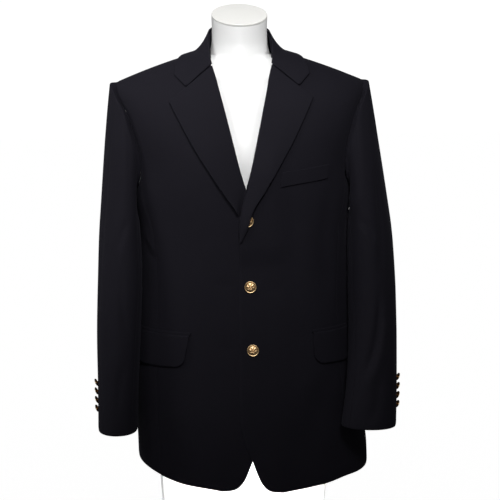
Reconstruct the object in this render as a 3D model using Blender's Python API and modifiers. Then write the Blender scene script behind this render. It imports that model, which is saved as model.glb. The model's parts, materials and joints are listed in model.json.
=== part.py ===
"""A buttoned single-breasted blazer on a white limbless dress form.

Lengths are metres, +Z is up, +X is the wearer's left and the fronts face -Y. The form's flat
underside lies on z = 0, with the origin under the middle of its body. Every panel of cloth is cut
from one surface, body(), which is read by a turn around the wearer (0 at centre front, a quarter
turn at the wearer's left side, half a turn at centre back) and a height.
"""

import math
from collections import namedtuple

import bpy
import numpy as np
from mathutils import Vector

# ---------------------------------------------------------------- driving sizes
WALL = 0.0018           # jacket cloth with its canvas
SLEEVE_GAP = 0.0004     # between the sleeve head and the armhole
SLEEVE_SEAM = 0.0008    # between the two pieces of a sleeve
SEAM_GAP = 0.0003       # between neighbouring pieces at a seam
SEAM_TURN = 0.0015      # half that gap as a turn at the side seams
LAYER_GAP = 0.0006      # between a piece and the panel it lies on
ARMPIT = 0.645          # lowest point of the armhole
RISE_FROM = 0.655       # above this height the rings tilt towards the shoulder line
NAPE = 0.925            # height at which the shoulder line would cross the centre
SHOULDER_SLOPE = 0.199  # fall of the shoulder line for each metre from the centre
SHOULDER_CURVE = 0.51   # and its growth with the distance squared
NAPE_LIFT = 0.030       # how much higher the back stands behind the neck
NECK_REACH = 0.075      # half width of the neck opening on the shoulder line
SHOULDER_ROUND = 2.4    # power of the rounding from chest to shoulder seam
RIDGE_Y = 0.005         # the shoulder seams lie on this plane

# Rings of the jacket. The powers are the squareness of a ring's front and back half, and shift is
# the sway of the skirt towards the wearer's left.
Level = namedtuple("Level", "height left right front back front_power back_power shift")
LEVELS = (
    Level(0.090, 0.2300, 0.2095, 0.1330, 0.1230, 2.4, 2.3, 0.0080),
    Level(0.165, 0.2270, 0.2085, 0.1320, 0.1200, 2.4, 2.3, 0.0088),
    Level(0.280, 0.2055, 0.2130, 0.1305, 0.1130, 2.4, 2.3, 0.0108),
    Level(0.374, 0.1950, 0.2075, 0.1290, 0.1020, 2.4, 2.4, 0.0104),
    Level(0.490, 0.1935, 0.1975, 0.1280, 0.0930, 2.4, 2.5, 0.0070),
    Level(0.580, 0.1952, 0.1935, 0.1295, 0.0980, 2.4, 2.6, 0.0036),
    Level(0.655, 0.2030, 0.2006, 0.1315, 0.1070, 2.4, 2.8, 0.0008),
    Level(0.703, 0.2018, 0.2005, 0.1320, 0.1120, 2.4, 3.1, 0.0000),
    Level(0.750, 0.2065, 0.2065, 0.1300, 0.1150, 2.5, 3.2, 0.0000),
    Level(0.812, 0.2165, 0.2165, 0.1210, 0.1150, 2.8, 3.4, 0.0000),
    Level(0.879, 0.2265, 0.2265, 0.1080, 0.1090, 3.3, 3.7, 0.0000),
    Level(0.925, 0.2275, 0.2275, 0.1020, 0.1040, 3.6, 3.9, 0.0000),
)

# The front panel's outer edge: side seam up to the armhole, then the armhole's front.
# The back panel's likewise. Each is a share of the ring's half width.
Side = namedtuple("Side", "height front back")
SIDES = (
    Side(0.090, 0.820, 0.740),
    Side(0.300, 0.830, 0.740),
    Side(0.500, 0.850, 0.770),
    Side(0.600, 0.885, 0.850),
    Side(0.682, 0.930, 0.962),
    Side(0.703, 0.921, 0.968),
    Side(0.750, 0.920, 0.962),
    Side(0.776, 0.931, 0.960),
    Side(0.812, 0.942, 0.965),
    Side(0.853, 0.9685, 0.973),
    Side(0.879, 0.980, 0.980),
    Side(0.925, 0.991, 0.991),
)
SEAM_TOP = 0.682        # where both side seams run into the armhole
SEAM_SHARE = 0.74       # share of a panel's rows below that height

# Hem height by the turn from centre front, for the wearer's left and right half.
Hem = namedtuple("Hem", "turn left right")
HEM = (
    Hem(0.00, 0.1045, 0.1095),
    Hem(0.30, 0.1060, 0.1115),
    Hem(0.55, 0.1125, 0.1175),
    Hem(0.80, 0.1215, 0.1295),
    Hem(1.05, 0.1235, 0.1395),
    Hem(1.57, 0.1280, 0.1490),
    Hem(2.20, 0.1330, 0.1420),
    Hem(3.15, 0.1330, 0.1330),
)

# The front's free edge, from the rounded hem corner up to the roll line and the neck.
# across runs from the centre line towards the panel's own side.
Edge = namedtuple("Edge", "station across z")
FRONT_EDGE = (
    Edge(0.00, 0.0560, 0.1045),
    Edge(0.04, 0.0330, 0.1085),
    Edge(0.08, 0.0195, 0.1205),
    Edge(0.12, 0.0110, 0.1370),
    Edge(0.16, 0.0010, 0.1640),
    Edge(0.21, -0.0125, 0.1950),
    Edge(0.27, -0.0215, 0.2320),
    Edge(0.36, -0.0245, 0.3000),
    Edge(0.46, -0.0230, 0.4000),
    Edge(0.54, -0.0190, 0.5000),
    Edge(0.60, -0.0160, 0.5680),
    Edge(0.64, -0.0148, 0.6050),
    Edge(0.68, -0.0100, 0.6350),
    Edge(0.72, -0.0015, 0.6610),
    Edge(0.76, 0.0100, 0.7015),
    Edge(0.81, 0.0225, 0.7545),
    Edge(0.86, 0.0345, 0.8060),
    Edge(0.90, 0.0430, 0.8410),
    Edge(0.94, 0.0515, 0.8750),
    Edge(0.97, 0.0620, 0.8960),
    Edge(1.00, 0.0750, 0.9071),
)
BACK_NECK = 0.88        # rise of the back neck seam at the centre, as a share
BACK_NECK_FROM = 0.87   # station of the back panel where its centre seam meets the neck
LAP = 0.0026            # how far the left front stands off the right one at the buttons
LAP_AT_ROLL = 0.0072    # and where the right lapel runs in between
LAP_WIDTH = 0.040       # full lap reaches this far from the centre line
LAP_FADE = 0.050        # and then fades out over this width
VENT_TOP = 0.360
VENT_WIDTH = 0.035
VENT_LAP = 0.0026
VENT_CORNER = 0.012     # height over which the vent's flap begins

# Lapel rows, from the roll line to the free edge. rise is how far the edge stands off.
Lapel = namedtuple("Lapel", "roll_x roll_z edge_x edge_z rise")
LAPEL = (
    Lapel(-0.0155, 0.5720, -0.0125, 0.5740, 0.0010),
    Lapel(-0.0144, 0.6050, 0.0035, 0.6050, 0.0084),
    Lapel(-0.0096, 0.6350, 0.0165, 0.6335, 0.0084),
    Lapel(-0.0010, 0.6610, 0.0335, 0.6590, 0.0072),
    Lapel(0.0105, 0.7015, 0.0590, 0.6995, 0.0060),
    Lapel(0.0230, 0.7545, 0.0846, 0.7410, 0.0052),
    Lapel(0.0350, 0.8060, 0.1074, 0.7830, 0.0046),
    Lapel(0.0460, 0.8530, 0.1245, 0.8160, 0.0040),
    Lapel(0.0535, 0.8822, 0.1275, 0.8228, 0.0034),
)
LAPEL_WALL = 0.0026     # facing, canvas and front folded together
LAPEL_COLUMNS = 5
RIGHT_LAPEL_SPREAD = 0.0035  # the wearer's right lapel lies wider and lower
RIGHT_LAPEL_DROP = 0.0023

# The collar, from the wearer's left gorge to centre back. neck is the place on the neck seam: -1 at
# the gorge, 0 on the shoulder, 1 at centre back. Heights of the fall's edge come from the body.
Collar = namedtuple("Collar", "roll_x roll_y roll_z edge_x edge_y neck")
COLLAR = (
    Collar(0.0540, -0.0560, 0.8875, 0.1213, -0.0555, -0.90),
    Collar(0.0572, -0.0420, 0.9020, 0.1190, -0.0400, -0.55),
    Collar(0.0586, -0.0230, 0.9215, 0.1130, -0.0200, -0.25),
    Collar(0.0578, 0.0020, 0.9390, 0.1030, 0.0040, 0.05),
    Collar(0.0535, 0.0280, 0.9485, 0.0890, 0.0330, 0.35),
    Collar(0.0385, 0.0520, 0.9530, 0.0600, 0.0590, 0.67),
    Collar(0.0000, 0.0665, 0.9545, 0.0000, 0.0755, 1.00),
)
NOTCH_X, NOTCH_Z = 0.1010, 0.8462   # inner corner of the notch, where the gorge ends
NOTCH_SHARE = 0.60                  # its place along the collar's front end
COLLAR_LIFT = 0.0042
COLLAR_WALL = 0.0022
STAND_WALL = 0.0018
STAND_TUCK, STAND_DROP = 0.0030, 0.0045  # the stand's top edge inside and under the roll
STAND_FOOT_IN, STAND_FOOT_UP = 0.0010, 0.0014  # its foot inside and above the neck seam
GORGE_SPAN = 0.06                        # share of the front's edge between gorge and shoulder

# Sleeve sections at rest, side by side: centre, half sizes and turn of each ring.
Ring = namedtuple("Ring", "z across forward half_across half_deep turn")
SLEEVE_LEFT = (
    Ring(0.600, 0.2368, 0.024, 0.0378, 0.0760, 0.30),
    Ring(0.500, 0.2380, 0.046, 0.0427, 0.0690, 0.30),
    Ring(0.400, 0.2366, 0.074, 0.0446, 0.0600, 0.20),
    Ring(0.300, 0.2305, 0.104, 0.0465, 0.0490, 0.20),
    Ring(0.229, 0.2230, 0.120, 0.0505, 0.0410, 0.20),
)
SLEEVE_RIGHT = (
    Ring(0.600, 0.2263, 0.018, 0.0336, 0.0770, 0.20),
    Ring(0.500, 0.2275, 0.038, 0.0387, 0.0700, 0.20),
    Ring(0.400, 0.2315, 0.054, 0.0400, 0.0640, 0.10),
    Ring(0.300, 0.2346, 0.068, 0.0374, 0.0580, 0.06),
    Ring(0.222, 0.2366, 0.078, 0.0364, 0.0520, 0.00),
)
SLEEVE_POWER = 2.15
SLEEVE_TWIST = (0.0, 0.30, 0.90, 1.50, 1.63)    # radians that the hind seam turns outward at each ring

# How the sleeve leaves the armhole, by the turn from the shoulder point to the front.
Head = namedtuple("Head", "turn out spread")
SLEEVE_HEAD = (
    Head(0.000, 0.0135, -0.0050),
    Head(0.500, 0.0130, 0.0010),
    Head(0.900, 0.0115, 0.0080),
    Head(1.570, 0.0090, 0.0100),
    Head(2.200, 0.0070, 0.0050),
    Head(3.142, 0.0050, -0.0030),
    Head(4.100, 0.0070, 0.0050),
    Head(4.712, 0.0100, 0.0100),
    Head(5.380, 0.0115, 0.0080),
    Head(5.780, 0.0130, 0.0010),
    Head(6.284, 0.0135, -0.0050),
)

LOW_ROWS, HIGH_ROWS = 12, 8       # rows of a panel below and above the top of the side seams
FRONT_COLUMNS, SIDE_COLUMNS, BACK_COLUMNS = 9, 6, 7
COLLAR_COLUMNS, COLLAR_STEPS = 5, 3
SLEEVE_STEPS = (3, 6, 2, 3, 2, 2)  # rows of a sleeve between its knots

# Pockets: heights above the base, front end from the centre line, length along the cloth.
FLAP_TOP, FLAP_HEIGHT, FLAP_LENGTH = 0.4010, 0.0590, 0.1350
FLAP_FRONT_LEFT, FLAP_FRONT_RIGHT = 0.1120, 0.1130
FLAP_SLANT_LEFT, FLAP_SLANT_RIGHT = -0.0010, 0.0080
FLAP_WALL, FLAP_CORNER, FLAP_DIP = 0.0024, 0.0200, 0.0030
FLAP_STANDOFF = 0.0012  # how far its lower edge stands off
FLAP_RADIUS = 0.190     # from the wearer's middle to the flaps
JET_HEIGHT, JET_WALL, JET_GAP, JET_END = 0.0050, 0.0016, 0.0005, 0.0020
WELT_FRONT_X, WELT_FRONT_Z = 0.0610, 0.6705
WELT_BACK_X, WELT_BACK_Z = 0.1490, 0.6815
WELT_HEIGHT, WELT_WALL, WELT_LEAN = 0.0250, 0.0022, 0.0020

# Buttons.
FRONT_BUTTON_HEIGHTS = (0.6115, 0.4910, 0.3745)
FRONT_BUTTON_RADIUS, FRONT_BUTTON_DOME = 0.0109, 0.0042
CUFF_BUTTON_RADIUS, CUFF_BUTTON_DOME = 0.0072, 0.0026
CUFF_BUTTON_PITCH, CUFF_BUTTON_FIRST, CUFF_BUTTON_COUNT = 0.0160, 0.0320, 4
CUFF_BUTTON_TURN, CUFF_BUTTON_DROOP, CUFF_BUTTON_STANDOFF = -0.42, 0.42, 0.0046
FRONT_BUTTON_SHANK, CUFF_BUTTON_SHANK = 0.0006, 0.0022
BUTTON_SIDES = 16
BUTTON_OUTLINE = (
    (0.94, 0.00),
    (1.00, 0.18),
    (0.97, 0.44),
    (0.84, 0.44),
    (0.50, 0.84),
    (0.00, 1.00),
)

# The dress form: inset is how far it lies inside the jacket, as read off the jacket's rings.
Form = namedtuple("Form", "height inset")
FORM_BODY = (
    Form(0.000, 0.0620),
    Form(0.030, 0.0570),
    Form(0.200, 0.0450),
    Form(0.400, 0.0210),
    Form(0.520, 0.0130),
    Form(0.650, 0.0110),
    Form(0.780, 0.0100),
    Form(0.862, 0.0100),
)
FORM_HEIGHTS = (0.0, 0.012, 0.10, 0.20, 0.30, 0.40, 0.48, 0.56, 0.64, 0.70, 0.75, 0.79, 0.83, 0.862)
FORM_SHOULDER_STEPS = (0.2, 0.4, 0.6, 0.8)
FORM_CLEARANCE = 0.0100
Neck = namedtuple("Neck", "z half_across half_deep centre_y")
FORM_NECK = (
    Neck(0.9020, 0.0560, 0.0550, 0.0060),
    Neck(0.9200, 0.0518, 0.0520, 0.0040),
    Neck(0.9450, 0.0505, 0.0510, 0.0020),
    Neck(0.9700, 0.0510, 0.0510, 0.0000),
)
NECK_TILT = 0.37        # fall of the slanted neck top for each metre forward
FORM_NECK_HEIGHTS = (0.902, 0.910, 0.922, 0.940, 0.956, 0.9710)
CAP_HEIGHT = 0.0040
FORM_SIDES = 40

# ---------------------------------------------------------------- finishes
Finish = namedtuple("Finish", "colour metallic roughness")
CLOTH = Finish((0.0105, 0.0115, 0.0200), 0.0, 0.80)
BRASS = Finish((0.620, 0.400, 0.160), 1.0, 0.32)
FORM_WHITE = Finish((0.860, 0.860, 0.850), 0.0, 0.38)
CAP_WHITE = Finish((0.800, 0.795, 0.775), 0.0, 0.45)


# ---------------------------------------------------------------- curves through tables
def follow(table, key, column, at):
    """A smooth curve through one column of a table."""
    keys = np.array([getattr(row, key) for row in table])
    values = np.array([getattr(row, column) for row in table])
    slopes = np.gradient(values, keys)
    at = np.clip(at, keys[0], keys[-1])
    span = np.clip(np.searchsorted(keys, at, side="right") - 1, 0, len(keys) - 2)
    width = keys[span + 1] - keys[span]
    u = (at - keys[span]) / width
    return (
        values[span] * (1 + 2 * u) * (1 - u) ** 2
        + slopes[span] * width * u * (1 - u) ** 2
        + values[span + 1] * u * u * (3 - 2 * u)
        + slopes[span + 1] * width * u * u * (u - 1)
    )


def ease(share):
    share = np.clip(share, 0.0, 1.0)
    return share * share * (3 - 2 * share)


def blend(start, end, share):
    return start + (end - start) * share


def unit(vectors):
    return vectors / np.maximum(np.linalg.norm(vectors, axis=-1, keepdims=True), 1e-12)


# ---------------------------------------------------------------- the jacket's surface
def level(column, height):
    return follow(LEVELS, "height", column, height)


def rise(height):
    """0 where the rings are level, 1 on the shoulder line."""
    return np.clip((height - RISE_FROM) / (NAPE - RISE_FROM), 0.0, 1.0)


def shoulder_drop(across, at_back):
    """How far the shoulder line lies below its crossing of the centre."""
    across = np.abs(across)
    lift = NAPE_LIFT * np.clip(1 - (across / NECK_REACH) ** 2, 0.0, 1.0) ** 2
    return SHOULDER_SLOPE * across + SHOULDER_CURVE * across**2 - np.where(at_back, lift, 0.0)


def height_at(across, z, at_back=False):
    """The ring's height at the centre for a point at height z, this far across."""
    drop = shoulder_drop(across, at_back)
    span = NAPE - RISE_FROM
    over = np.clip(z - RISE_FROM, 0.0, None)
    root = np.sqrt(np.clip(span**2 - 4 * drop * over, 0.0, None))
    return np.where(z > RISE_FROM, RISE_FROM + span * 2 * over / (span + root), z)


def ring_power(at_back, height):
    return np.where(at_back, level("back_power", height), level("front_power", height))


def half_width(side, height):
    return np.where(side > 0, level("left", height), level("right", height))


def turn_at(share, height, at_back=False):
    """The turn from the ring's front or back centre, at a share of the half width."""
    power = ring_power(at_back, height)
    turn = np.arcsin(np.clip(np.abs(share), 0.0, 1.0) ** (power / 2))
    turn = np.where(at_back, math.pi - turn, turn)
    return np.where(share < 0, -turn, turn)


def body_point(turn, height, swaying=True):
    sine, cosine = np.sin(turn), np.cos(turn)
    at_back = cosine < 0
    power = ring_power(at_back, height)
    depth = np.where(at_back, level("back", height), level("front", height))
    depth = depth * (1 - rise(height) ** SHOULDER_ROUND) ** (1 / SHOULDER_ROUND)
    if swaying:
        width = half_width(np.sign(sine), height)
        shift = level("shift", height)
    else:
        width = np.minimum(level("left", height), level("right", height))
        shift = 0.0
    across = width * np.sign(sine) * np.abs(sine) ** (2 / power)
    seam = SEAM_GAP * rise(height) ** 8
    y = RIDGE_Y - np.sign(cosine) * (depth * np.abs(cosine) ** (2 / power) + seam)
    z = height - shoulder_drop(across, at_back) * rise(height) ** 2
    return np.stack([across + shift, y, z], axis=-1)


def body(turn, height, out=0.0, swaying=True):
    """The jacket's outer face, or a face this far out from it."""
    turn, height = np.broadcast_arrays(np.asarray(turn, float), np.asarray(height, float))
    step = 1e-4
    high = np.minimum(height + step, NAPE - step)
    low = high - 2 * step
    around = body_point(turn + step, height, swaying) - body_point(turn - step, height, swaying)
    up = body_point(turn, high, swaying) - body_point(turn, low, swaying)
    normal = unit(np.cross(around, up))
    return body_point(turn, height, swaying) + normal * np.asarray(out)[..., None]


def on_front(side, across, height, out=0.0):
    """A point of the front, this far from the centre line towards the panel's own side."""
    share = across / half_width(side * np.sign(across), height)
    return body(side * turn_at(share, height), height, out)


def front_lap(side, across, height):
    """How far a front panel stands off the jacket's surface near the centre line."""
    if side < 0:
        return np.zeros(np.broadcast(across, height).shape)
    lap = blend(LAP, LAP_AT_ROLL, ease((height - 0.522) / 0.045))
    lap = lap * (1 - ease((height - 0.69) / 0.08))
    return lap * (1 - ease((across - LAP_WIDTH) / LAP_FADE))


def hem_height(side, turn):
    column = "left" if side > 0 else "right"
    return follow(HEM, "turn", column, np.abs(turn))


def seam_stations(rows):
    return np.linspace(0.0, 1.0, rows + 1)


def panel_heights(hem):
    """Heights of a panel's rows on its outer edge, from the hem to the shoulder seam."""
    low = blend(hem, SEAM_TOP, seam_stations(LOW_ROWS))
    top = 1 - (1 - seam_stations(HIGH_ROWS)) ** 1.7
    return np.concatenate([low, blend(SEAM_TOP, NAPE, top)[1:]])


def panel_stations():
    low = SEAM_SHARE * seam_stations(LOW_ROWS)
    high = blend(SEAM_SHARE, 1.0, seam_stations(HIGH_ROWS))
    return np.concatenate([low, high[1:]])


def edge_turn(side, column, height):
    """The turn of a side seam or an armhole edge at a height."""
    share = follow(SIDES, "height", column, height)
    return side * turn_at(share, height, column == "back")


# ---------------------------------------------------------------- building solids
def finish_material(name, finish):
    material = bpy.data.materials.get(name) or bpy.data.materials.new(name)
    material.use_nodes = True
    shader = material.node_tree.nodes["Principled BSDF"]
    shader.inputs["Base Color"].default_value = (*finish.colour, 1.0)
    shader.inputs["Metallic"].default_value = finish.metallic
    shader.inputs["Roughness"].default_value = finish.roughness
    return material


def new_object(name, mesh, material, collection):
    mesh.materials.append(material)
    made = bpy.data.objects.new(name, mesh)
    collection.objects.link(made)
    return made


def sheet(name, outer, inner, material, collection):
    """A wall of cloth: lofts through the rows of its outer and inner face, joined by a rim."""
    rows, columns = outer.shape[:2]
    count = rows * columns
    faces = []
    for row in range(rows - 1):
        for column in range(columns - 1):
            at = row * columns + column
            quad = (at, at + 1, at + columns + 1, at + columns)
            faces.append(quad)
            faces.append(tuple(count + corner for corner in reversed(quad)))
    rim = list(range(columns))
    rim += [row * columns + columns - 1 for row in range(1, rows)]
    rim += [count - 1 - column for column in range(1, columns)]
    rim += [row * columns for row in range(rows - 2, 0, -1)]
    for at, after in zip(rim, rim[1:] + rim[:1]):
        faces.append((after, at, count + at, count + after))
    mesh = bpy.data.meshes.new(name)
    points = np.concatenate([outer.reshape(-1, 3), inner.reshape(-1, 3)])
    mesh.from_pydata([tuple(point) for point in points], [], faces)
    mesh.shade_smooth()
    mesh.set_sharp_from_angle(angle=math.radians(40))
    return new_object(name, mesh, material, collection)


def grid_normals(grid, closed=False):
    """Outward normals of a grid of points whose columns run anticlockwise seen from above."""
    if closed:
        across = np.roll(grid, -1, axis=1) - np.roll(grid, 1, axis=1)
    else:
        across = np.gradient(grid, axis=1)
    return unit(np.cross(across, np.gradient(grid, axis=0)))


def loft(name, rings, material, collection):
    """A closed solid through rings of equal count, bottom to top, with flat ends."""
    count = rings.shape[1]
    mesh = bpy.data.meshes.new(name)
    faces = [tuple(reversed(range(count)))]
    for ring in range(len(rings) - 1):
        for at in range(count):
            after = (at + 1) % count
            low, high = ring * count, (ring + 1) * count
            faces.append((low + at, low + after, high + after, high + at))
    last = (len(rings) - 1) * count
    faces.append(tuple(range(last, last + count)))
    mesh.from_pydata([tuple(point) for point in rings.reshape(-1, 3)], [], faces)
    mesh.shade_smooth()
    mesh.set_sharp_from_angle(angle=math.radians(40))
    return new_object(name, mesh, material, collection)


def facing_out(grid, side):
    """Columns run from the centre outwards, so the wearer's right half is turned round."""
    return grid if side > 0 else grid[:, ::-1]


# ---------------------------------------------------------------- fronts, sides and backs
def front_panel(side, depth):
    stations = panel_stations()[:, None]
    hem_turn = edge_turn(1, "front", 0.1)
    outer_height = panel_heights(hem_height(side, hem_turn))[:, None]
    outer_share = follow(SIDES, "height", "front", outer_height)
    outer_x = outer_share * half_width(side, outer_height) - SEAM_GAP / 2
    edge_x = follow(FRONT_EDGE, "station", "across", stations)
    corner = hem_height(side, 0.0) - FRONT_EDGE[0].z
    edge_z = follow(FRONT_EDGE, "station", "z", stations)
    edge_z = edge_z + corner * np.clip(1 - stations / 0.2, 0.0, 1.0)
    edge_height = height_at(edge_x, edge_z)
    u = np.linspace(0.0, 1.0, FRONT_COLUMNS + 1)[None, :]
    across = blend(edge_x, outer_x, u)
    height = blend(edge_height, outer_height, u)
    hem_x = blend(edge_x[0], outer_x[0], u)
    hem = hem_height(side, turn_at(hem_x / half_width(side, height[:1]), height[:1]))
    level_hem = blend(edge_height[0], outer_height[0], u)
    height = height + (hem - level_hem) * u * (1 - stations) ** 6
    height = np.minimum(height, NAPE)
    out = front_lap(side, across, height) - depth
    return facing_out(on_front(side, across, height, out), side)


def side_panel(side, depth):
    stations = seam_stations(LOW_ROWS)[:, None]
    u = np.linspace(0.0, 1.0, SIDE_COLUMNS + 1)[None, :]
    height = blend(0.12, SEAM_TOP, stations)
    for _ in range(3):
        front = edge_turn(1, "front", height[:, :1]) + SEAM_TURN
        back = edge_turn(1, "back", height[:, -1:]) - SEAM_TURN
        turn = blend(front, back, u)
        hem = hem_height(side, turn)
        top = ARMPIT + (SEAM_TOP - ARMPIT) * np.abs(2 * u - 1) ** 2.2
        height = blend(hem, top, stations)
    return facing_out(body(side * turn, height, -depth), side)


def vent_reach(side, height):
    """How far the left back runs past the centre below the vent's top."""
    return np.where(side > 0, -VENT_WIDTH, 0.0) * ease((VENT_TOP - height) / VENT_CORNER)


def vent_lap(side, across, height):
    """How far the left back stands off the right one around the vent."""
    near = 1 - ease((across - 0.03) / 0.05)
    return np.where(side > 0, VENT_LAP, 0.0) * ease((VENT_TOP + 0.11 - height) / 0.06) * near


def back_neck(share):
    """Across and ring height of the back neckline, from centre back to the shoulder seam."""
    angle = share * math.pi / 2
    start = (1 - BACK_NECK**SHOULDER_ROUND) * np.cos(angle) ** SHOULDER_ROUND
    return NECK_REACH * np.sin(angle), blend(RISE_FROM, NAPE, (1 - start) ** (1 / SHOULDER_ROUND))


def back_panel(side, depth):
    stations = panel_stations()[:, None]
    hem_turn = edge_turn(1, "back", 0.1)
    outer_height = panel_heights(hem_height(side, hem_turn))[:, None]
    outer_share = follow(SIDES, "height", "back", outer_height)
    outer_x = outer_share * half_width(side, outer_height) - SEAM_GAP / 2
    neck_x, neck_height = back_neck(np.clip((stations - BACK_NECK_FROM) / (1 - BACK_NECK_FROM), 0, 1))
    seam_share = np.clip(stations / BACK_NECK_FROM, 0.0, 1.0)
    centre = blend(hem_height(side, math.pi), back_neck(0.0)[1], seam_share)
    centre_height = np.where(stations > BACK_NECK_FROM, neck_height, centre)
    centre_x = neck_x + SEAM_GAP / 2 + vent_reach(side, centre_height)
    u = np.linspace(0.0, 1.0, BACK_COLUMNS + 1)[None, :]
    across = blend(centre_x, outer_x, u)
    height = blend(centre_height, outer_height, u)
    turn = turn_at(across / half_width(side * np.sign(across), height), height, True)
    out = vent_lap(side, across, height) - depth
    return facing_out(body(side * turn, height, out), -side)


# ---------------------------------------------------------------- sleeves
def armhole_loop(side):
    """Turns and heights of the armhole's edge, from the shoulder point to the front and round."""
    heights = panel_heights(0.12)[LOW_ROWS:]
    front = [(edge_turn(1, "front", h), h) for h in heights[::-1]]
    back = [(edge_turn(1, "back", h), h) for h in heights]
    start, end = front[-1][0], back[0][0]
    under = []
    for share in np.linspace(0.0, 1.0, SIDE_COLUMNS + 1)[1:-1]:
        height = ARMPIT + (SEAM_TOP - ARMPIT) * abs(2 * share - 1) ** 2.2
        under.append((blend(start, end, share), height))
    loop = np.array([(float(turn), float(h)) for turn, h in front + under + back])
    return side * loop[:, 0], loop[:, 1]


def sleeve_ring(side, row, around):
    """Points of one level section: around is 0 outside, a quarter turn at the front."""
    cosine, sine = np.cos(around), np.sin(around)
    out = row.half_across * np.sign(cosine) * np.abs(cosine) ** (2 / SLEEVE_POWER)
    fore = row.half_deep * np.sign(sine) * np.abs(sine) ** (2 / SLEEVE_POWER)
    across = row.across + out * math.cos(row.turn) - fore * math.sin(row.turn)
    forward = row.forward + fore * math.cos(row.turn) + out * math.sin(row.turn)
    return np.stack([side * across, -forward, np.full(len(around), row.z)], axis=-1)


def chord_slopes(points, at):
    slopes = np.empty_like(points)
    slopes[1:-1] = (points[2:] - points[:-2]) / (at[2:] - at[:-2])[:, None]
    slopes[0] = (points[1] - points[0]) / (at[1] - at[0])
    slopes[-1] = (points[-1] - points[-2]) / (at[-1] - at[-2])
    return slopes


def thread(knots, counts):
    """Smooth curves through knots[k][column], with counts[k] steps after each knot."""
    knots = np.array(knots)
    lengths = np.linalg.norm(np.diff(knots, axis=0), axis=-1)
    places = np.concatenate([np.zeros((1, knots.shape[1])), np.cumsum(lengths, axis=0)])
    rows = []
    for column in range(knots.shape[1]):
        at = places[:, column]
        slopes = chord_slopes(knots[:, column], at)
        points = []
        for span, count in enumerate(counts):
            width = at[span + 1] - at[span]
            last = span == len(counts) - 1
            u = (np.arange(count + last) / count)[:, None]
            points.append(
                knots[span, column] * (1 + 2 * u) * (1 - u) ** 2
                + slopes[span] * width * u * (1 - u) ** 2
                + knots[span + 1, column] * u * u * (3 - 2 * u)
                + slopes[span + 1] * width * u * u * (u - 1)
            )
        rows.append(np.concatenate(points))
    return np.stack(rows, axis=1)


def sleeve_grid(side):
    """The sleeve's outer face below the armhole; the shoulder point stands in its first column."""
    turns, heights = armhole_loop(side)
    turns, heights = turns[:-1], heights[:-1]
    places = np.arange(len(turns)) / len(turns) * 2 * math.pi
    edge = body(turns, heights)
    centre = np.array([side * 0.2, 0.0, 0.75])
    radial = unit((edge - centre) * np.array([0.0, 1.0, 1.0]))
    outward = np.array([side * 1.0, 0.0, 0.0])
    seams = np.array([HIGH_ROWS, HIGH_ROWS + SIDE_COLUMNS, len(turns)]) / len(turns) * 2 * math.pi
    hind = np.interp(places, seams, (0.0, 1.0, 0.0))
    out = follow(SLEEVE_HEAD, "turn", "out", places)[:, None]
    spread = follow(SLEEVE_HEAD, "turn", "spread", places)[:, None]
    start = edge + SLEEVE_GAP * unit(outward - 0.3 * radial)
    head = edge + outward * out + radial * spread
    table = SLEEVE_LEFT if side > 0 else SLEEVE_RIGHT
    knots = [start, head]
    for index, row in enumerate(table):
        knots.append(sleeve_ring(side, row, places + SLEEVE_TWIST[index] * hind))
    return thread(knots, SLEEVE_STEPS)


def sleeves(side, material, collection):
    label = "left" if side > 0 else "right"
    outer = sleeve_grid(side)
    inner = outer - side * WALL * grid_normals(outer, closed=True)
    count = outer.shape[1]
    under = np.arange(HIGH_ROWS, HIGH_ROWS + SIDE_COLUMNS + 1)
    top = np.arange(HIGH_ROWS + SIDE_COLUMNS, HIGH_ROWS + count + 1) % count
    for part, columns in (("under", under), ("top", top)):
        grids = [trimmed(grid[:, columns], SLEEVE_SEAM / 2) for grid in (outer, inner)]
        grids = [facing_out(grid, side) for grid in grids]
        sheet(f"sleeve_{part}_{label}", *grids, material, collection)


def trimmed(grid, gap):
    """The grid with its first and last column drawn in by a gap."""
    grid = grid.copy()
    for last, inner in ((0, 1), (-1, -2)):
        grid[:, last] += gap * unit(grid[:, inner] - grid[:, last])
    return grid


# ---------------------------------------------------------------- lapels and collar
def numbered(table):
    """The table's rows with their places in it as one more column."""
    row_type = namedtuple("Numbered", ("place", *table[0]._fields))
    return [row_type(place, *row) for place, row in enumerate(table)]


def lapel_grid(side, depth):
    table = numbered(LAPEL)
    places = np.linspace(0, len(LAPEL) - 1, 2 * len(LAPEL) - 1)[:, None]
    row = {name: follow(table, "place", name, places) for name in Lapel._fields}
    u = np.linspace(0.0, 1.0, LAPEL_COLUMNS + 1)[None, :]
    lower = 1.0 if side < 0 else -1.0
    wider = lower * u * ease(places / 2)
    across = blend(row["roll_x"], row["edge_x"], u) + RIGHT_LAPEL_SPREAD * wider
    z = blend(row["roll_z"], row["edge_z"], u) - RIGHT_LAPEL_DROP * wider
    start = row["roll_x"] if side > 0 else np.maximum(row["roll_x"], 0.003 - row["roll_x"])
    clear = np.clip((across - start) / np.maximum(across[:, -1:] - start, 0.004), 0.0, 1.0)
    lift = LAYER_GAP + LAPEL_WALL + row["rise"] * (1 - (1 - clear) ** 2)
    height = height_at(across, z)
    out = front_lap(side, across, height) + lift - depth
    return facing_out(on_front(side, across, height, out), side)


def on_shoulder(x, y, out):
    """The jacket's surface near the neck by its plan, moved out."""
    at_back = y > RIDGE_Y
    share = 0.9 * np.ones_like(x)
    for _ in range(40):
        height = blend(RISE_FROM, NAPE, share)
        power = ring_power(at_back, height)
        depth = np.where(at_back, level("back", height), level("front", height))
        part = np.clip(np.abs(x) / level("left", height), 0.0, 0.999)
        reach = depth * (1 - part**power) ** (1 / power)
        fall = np.clip(np.abs(y - RIDGE_Y) / reach, 0.0, 0.999)
        share = blend(share, (1 - fall**SHOULDER_ROUND) ** (1 / SHOULDER_ROUND), 0.6)
    turn = turn_at(x / level("left", height), height, at_back)
    return body(turn, height, out)


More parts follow.
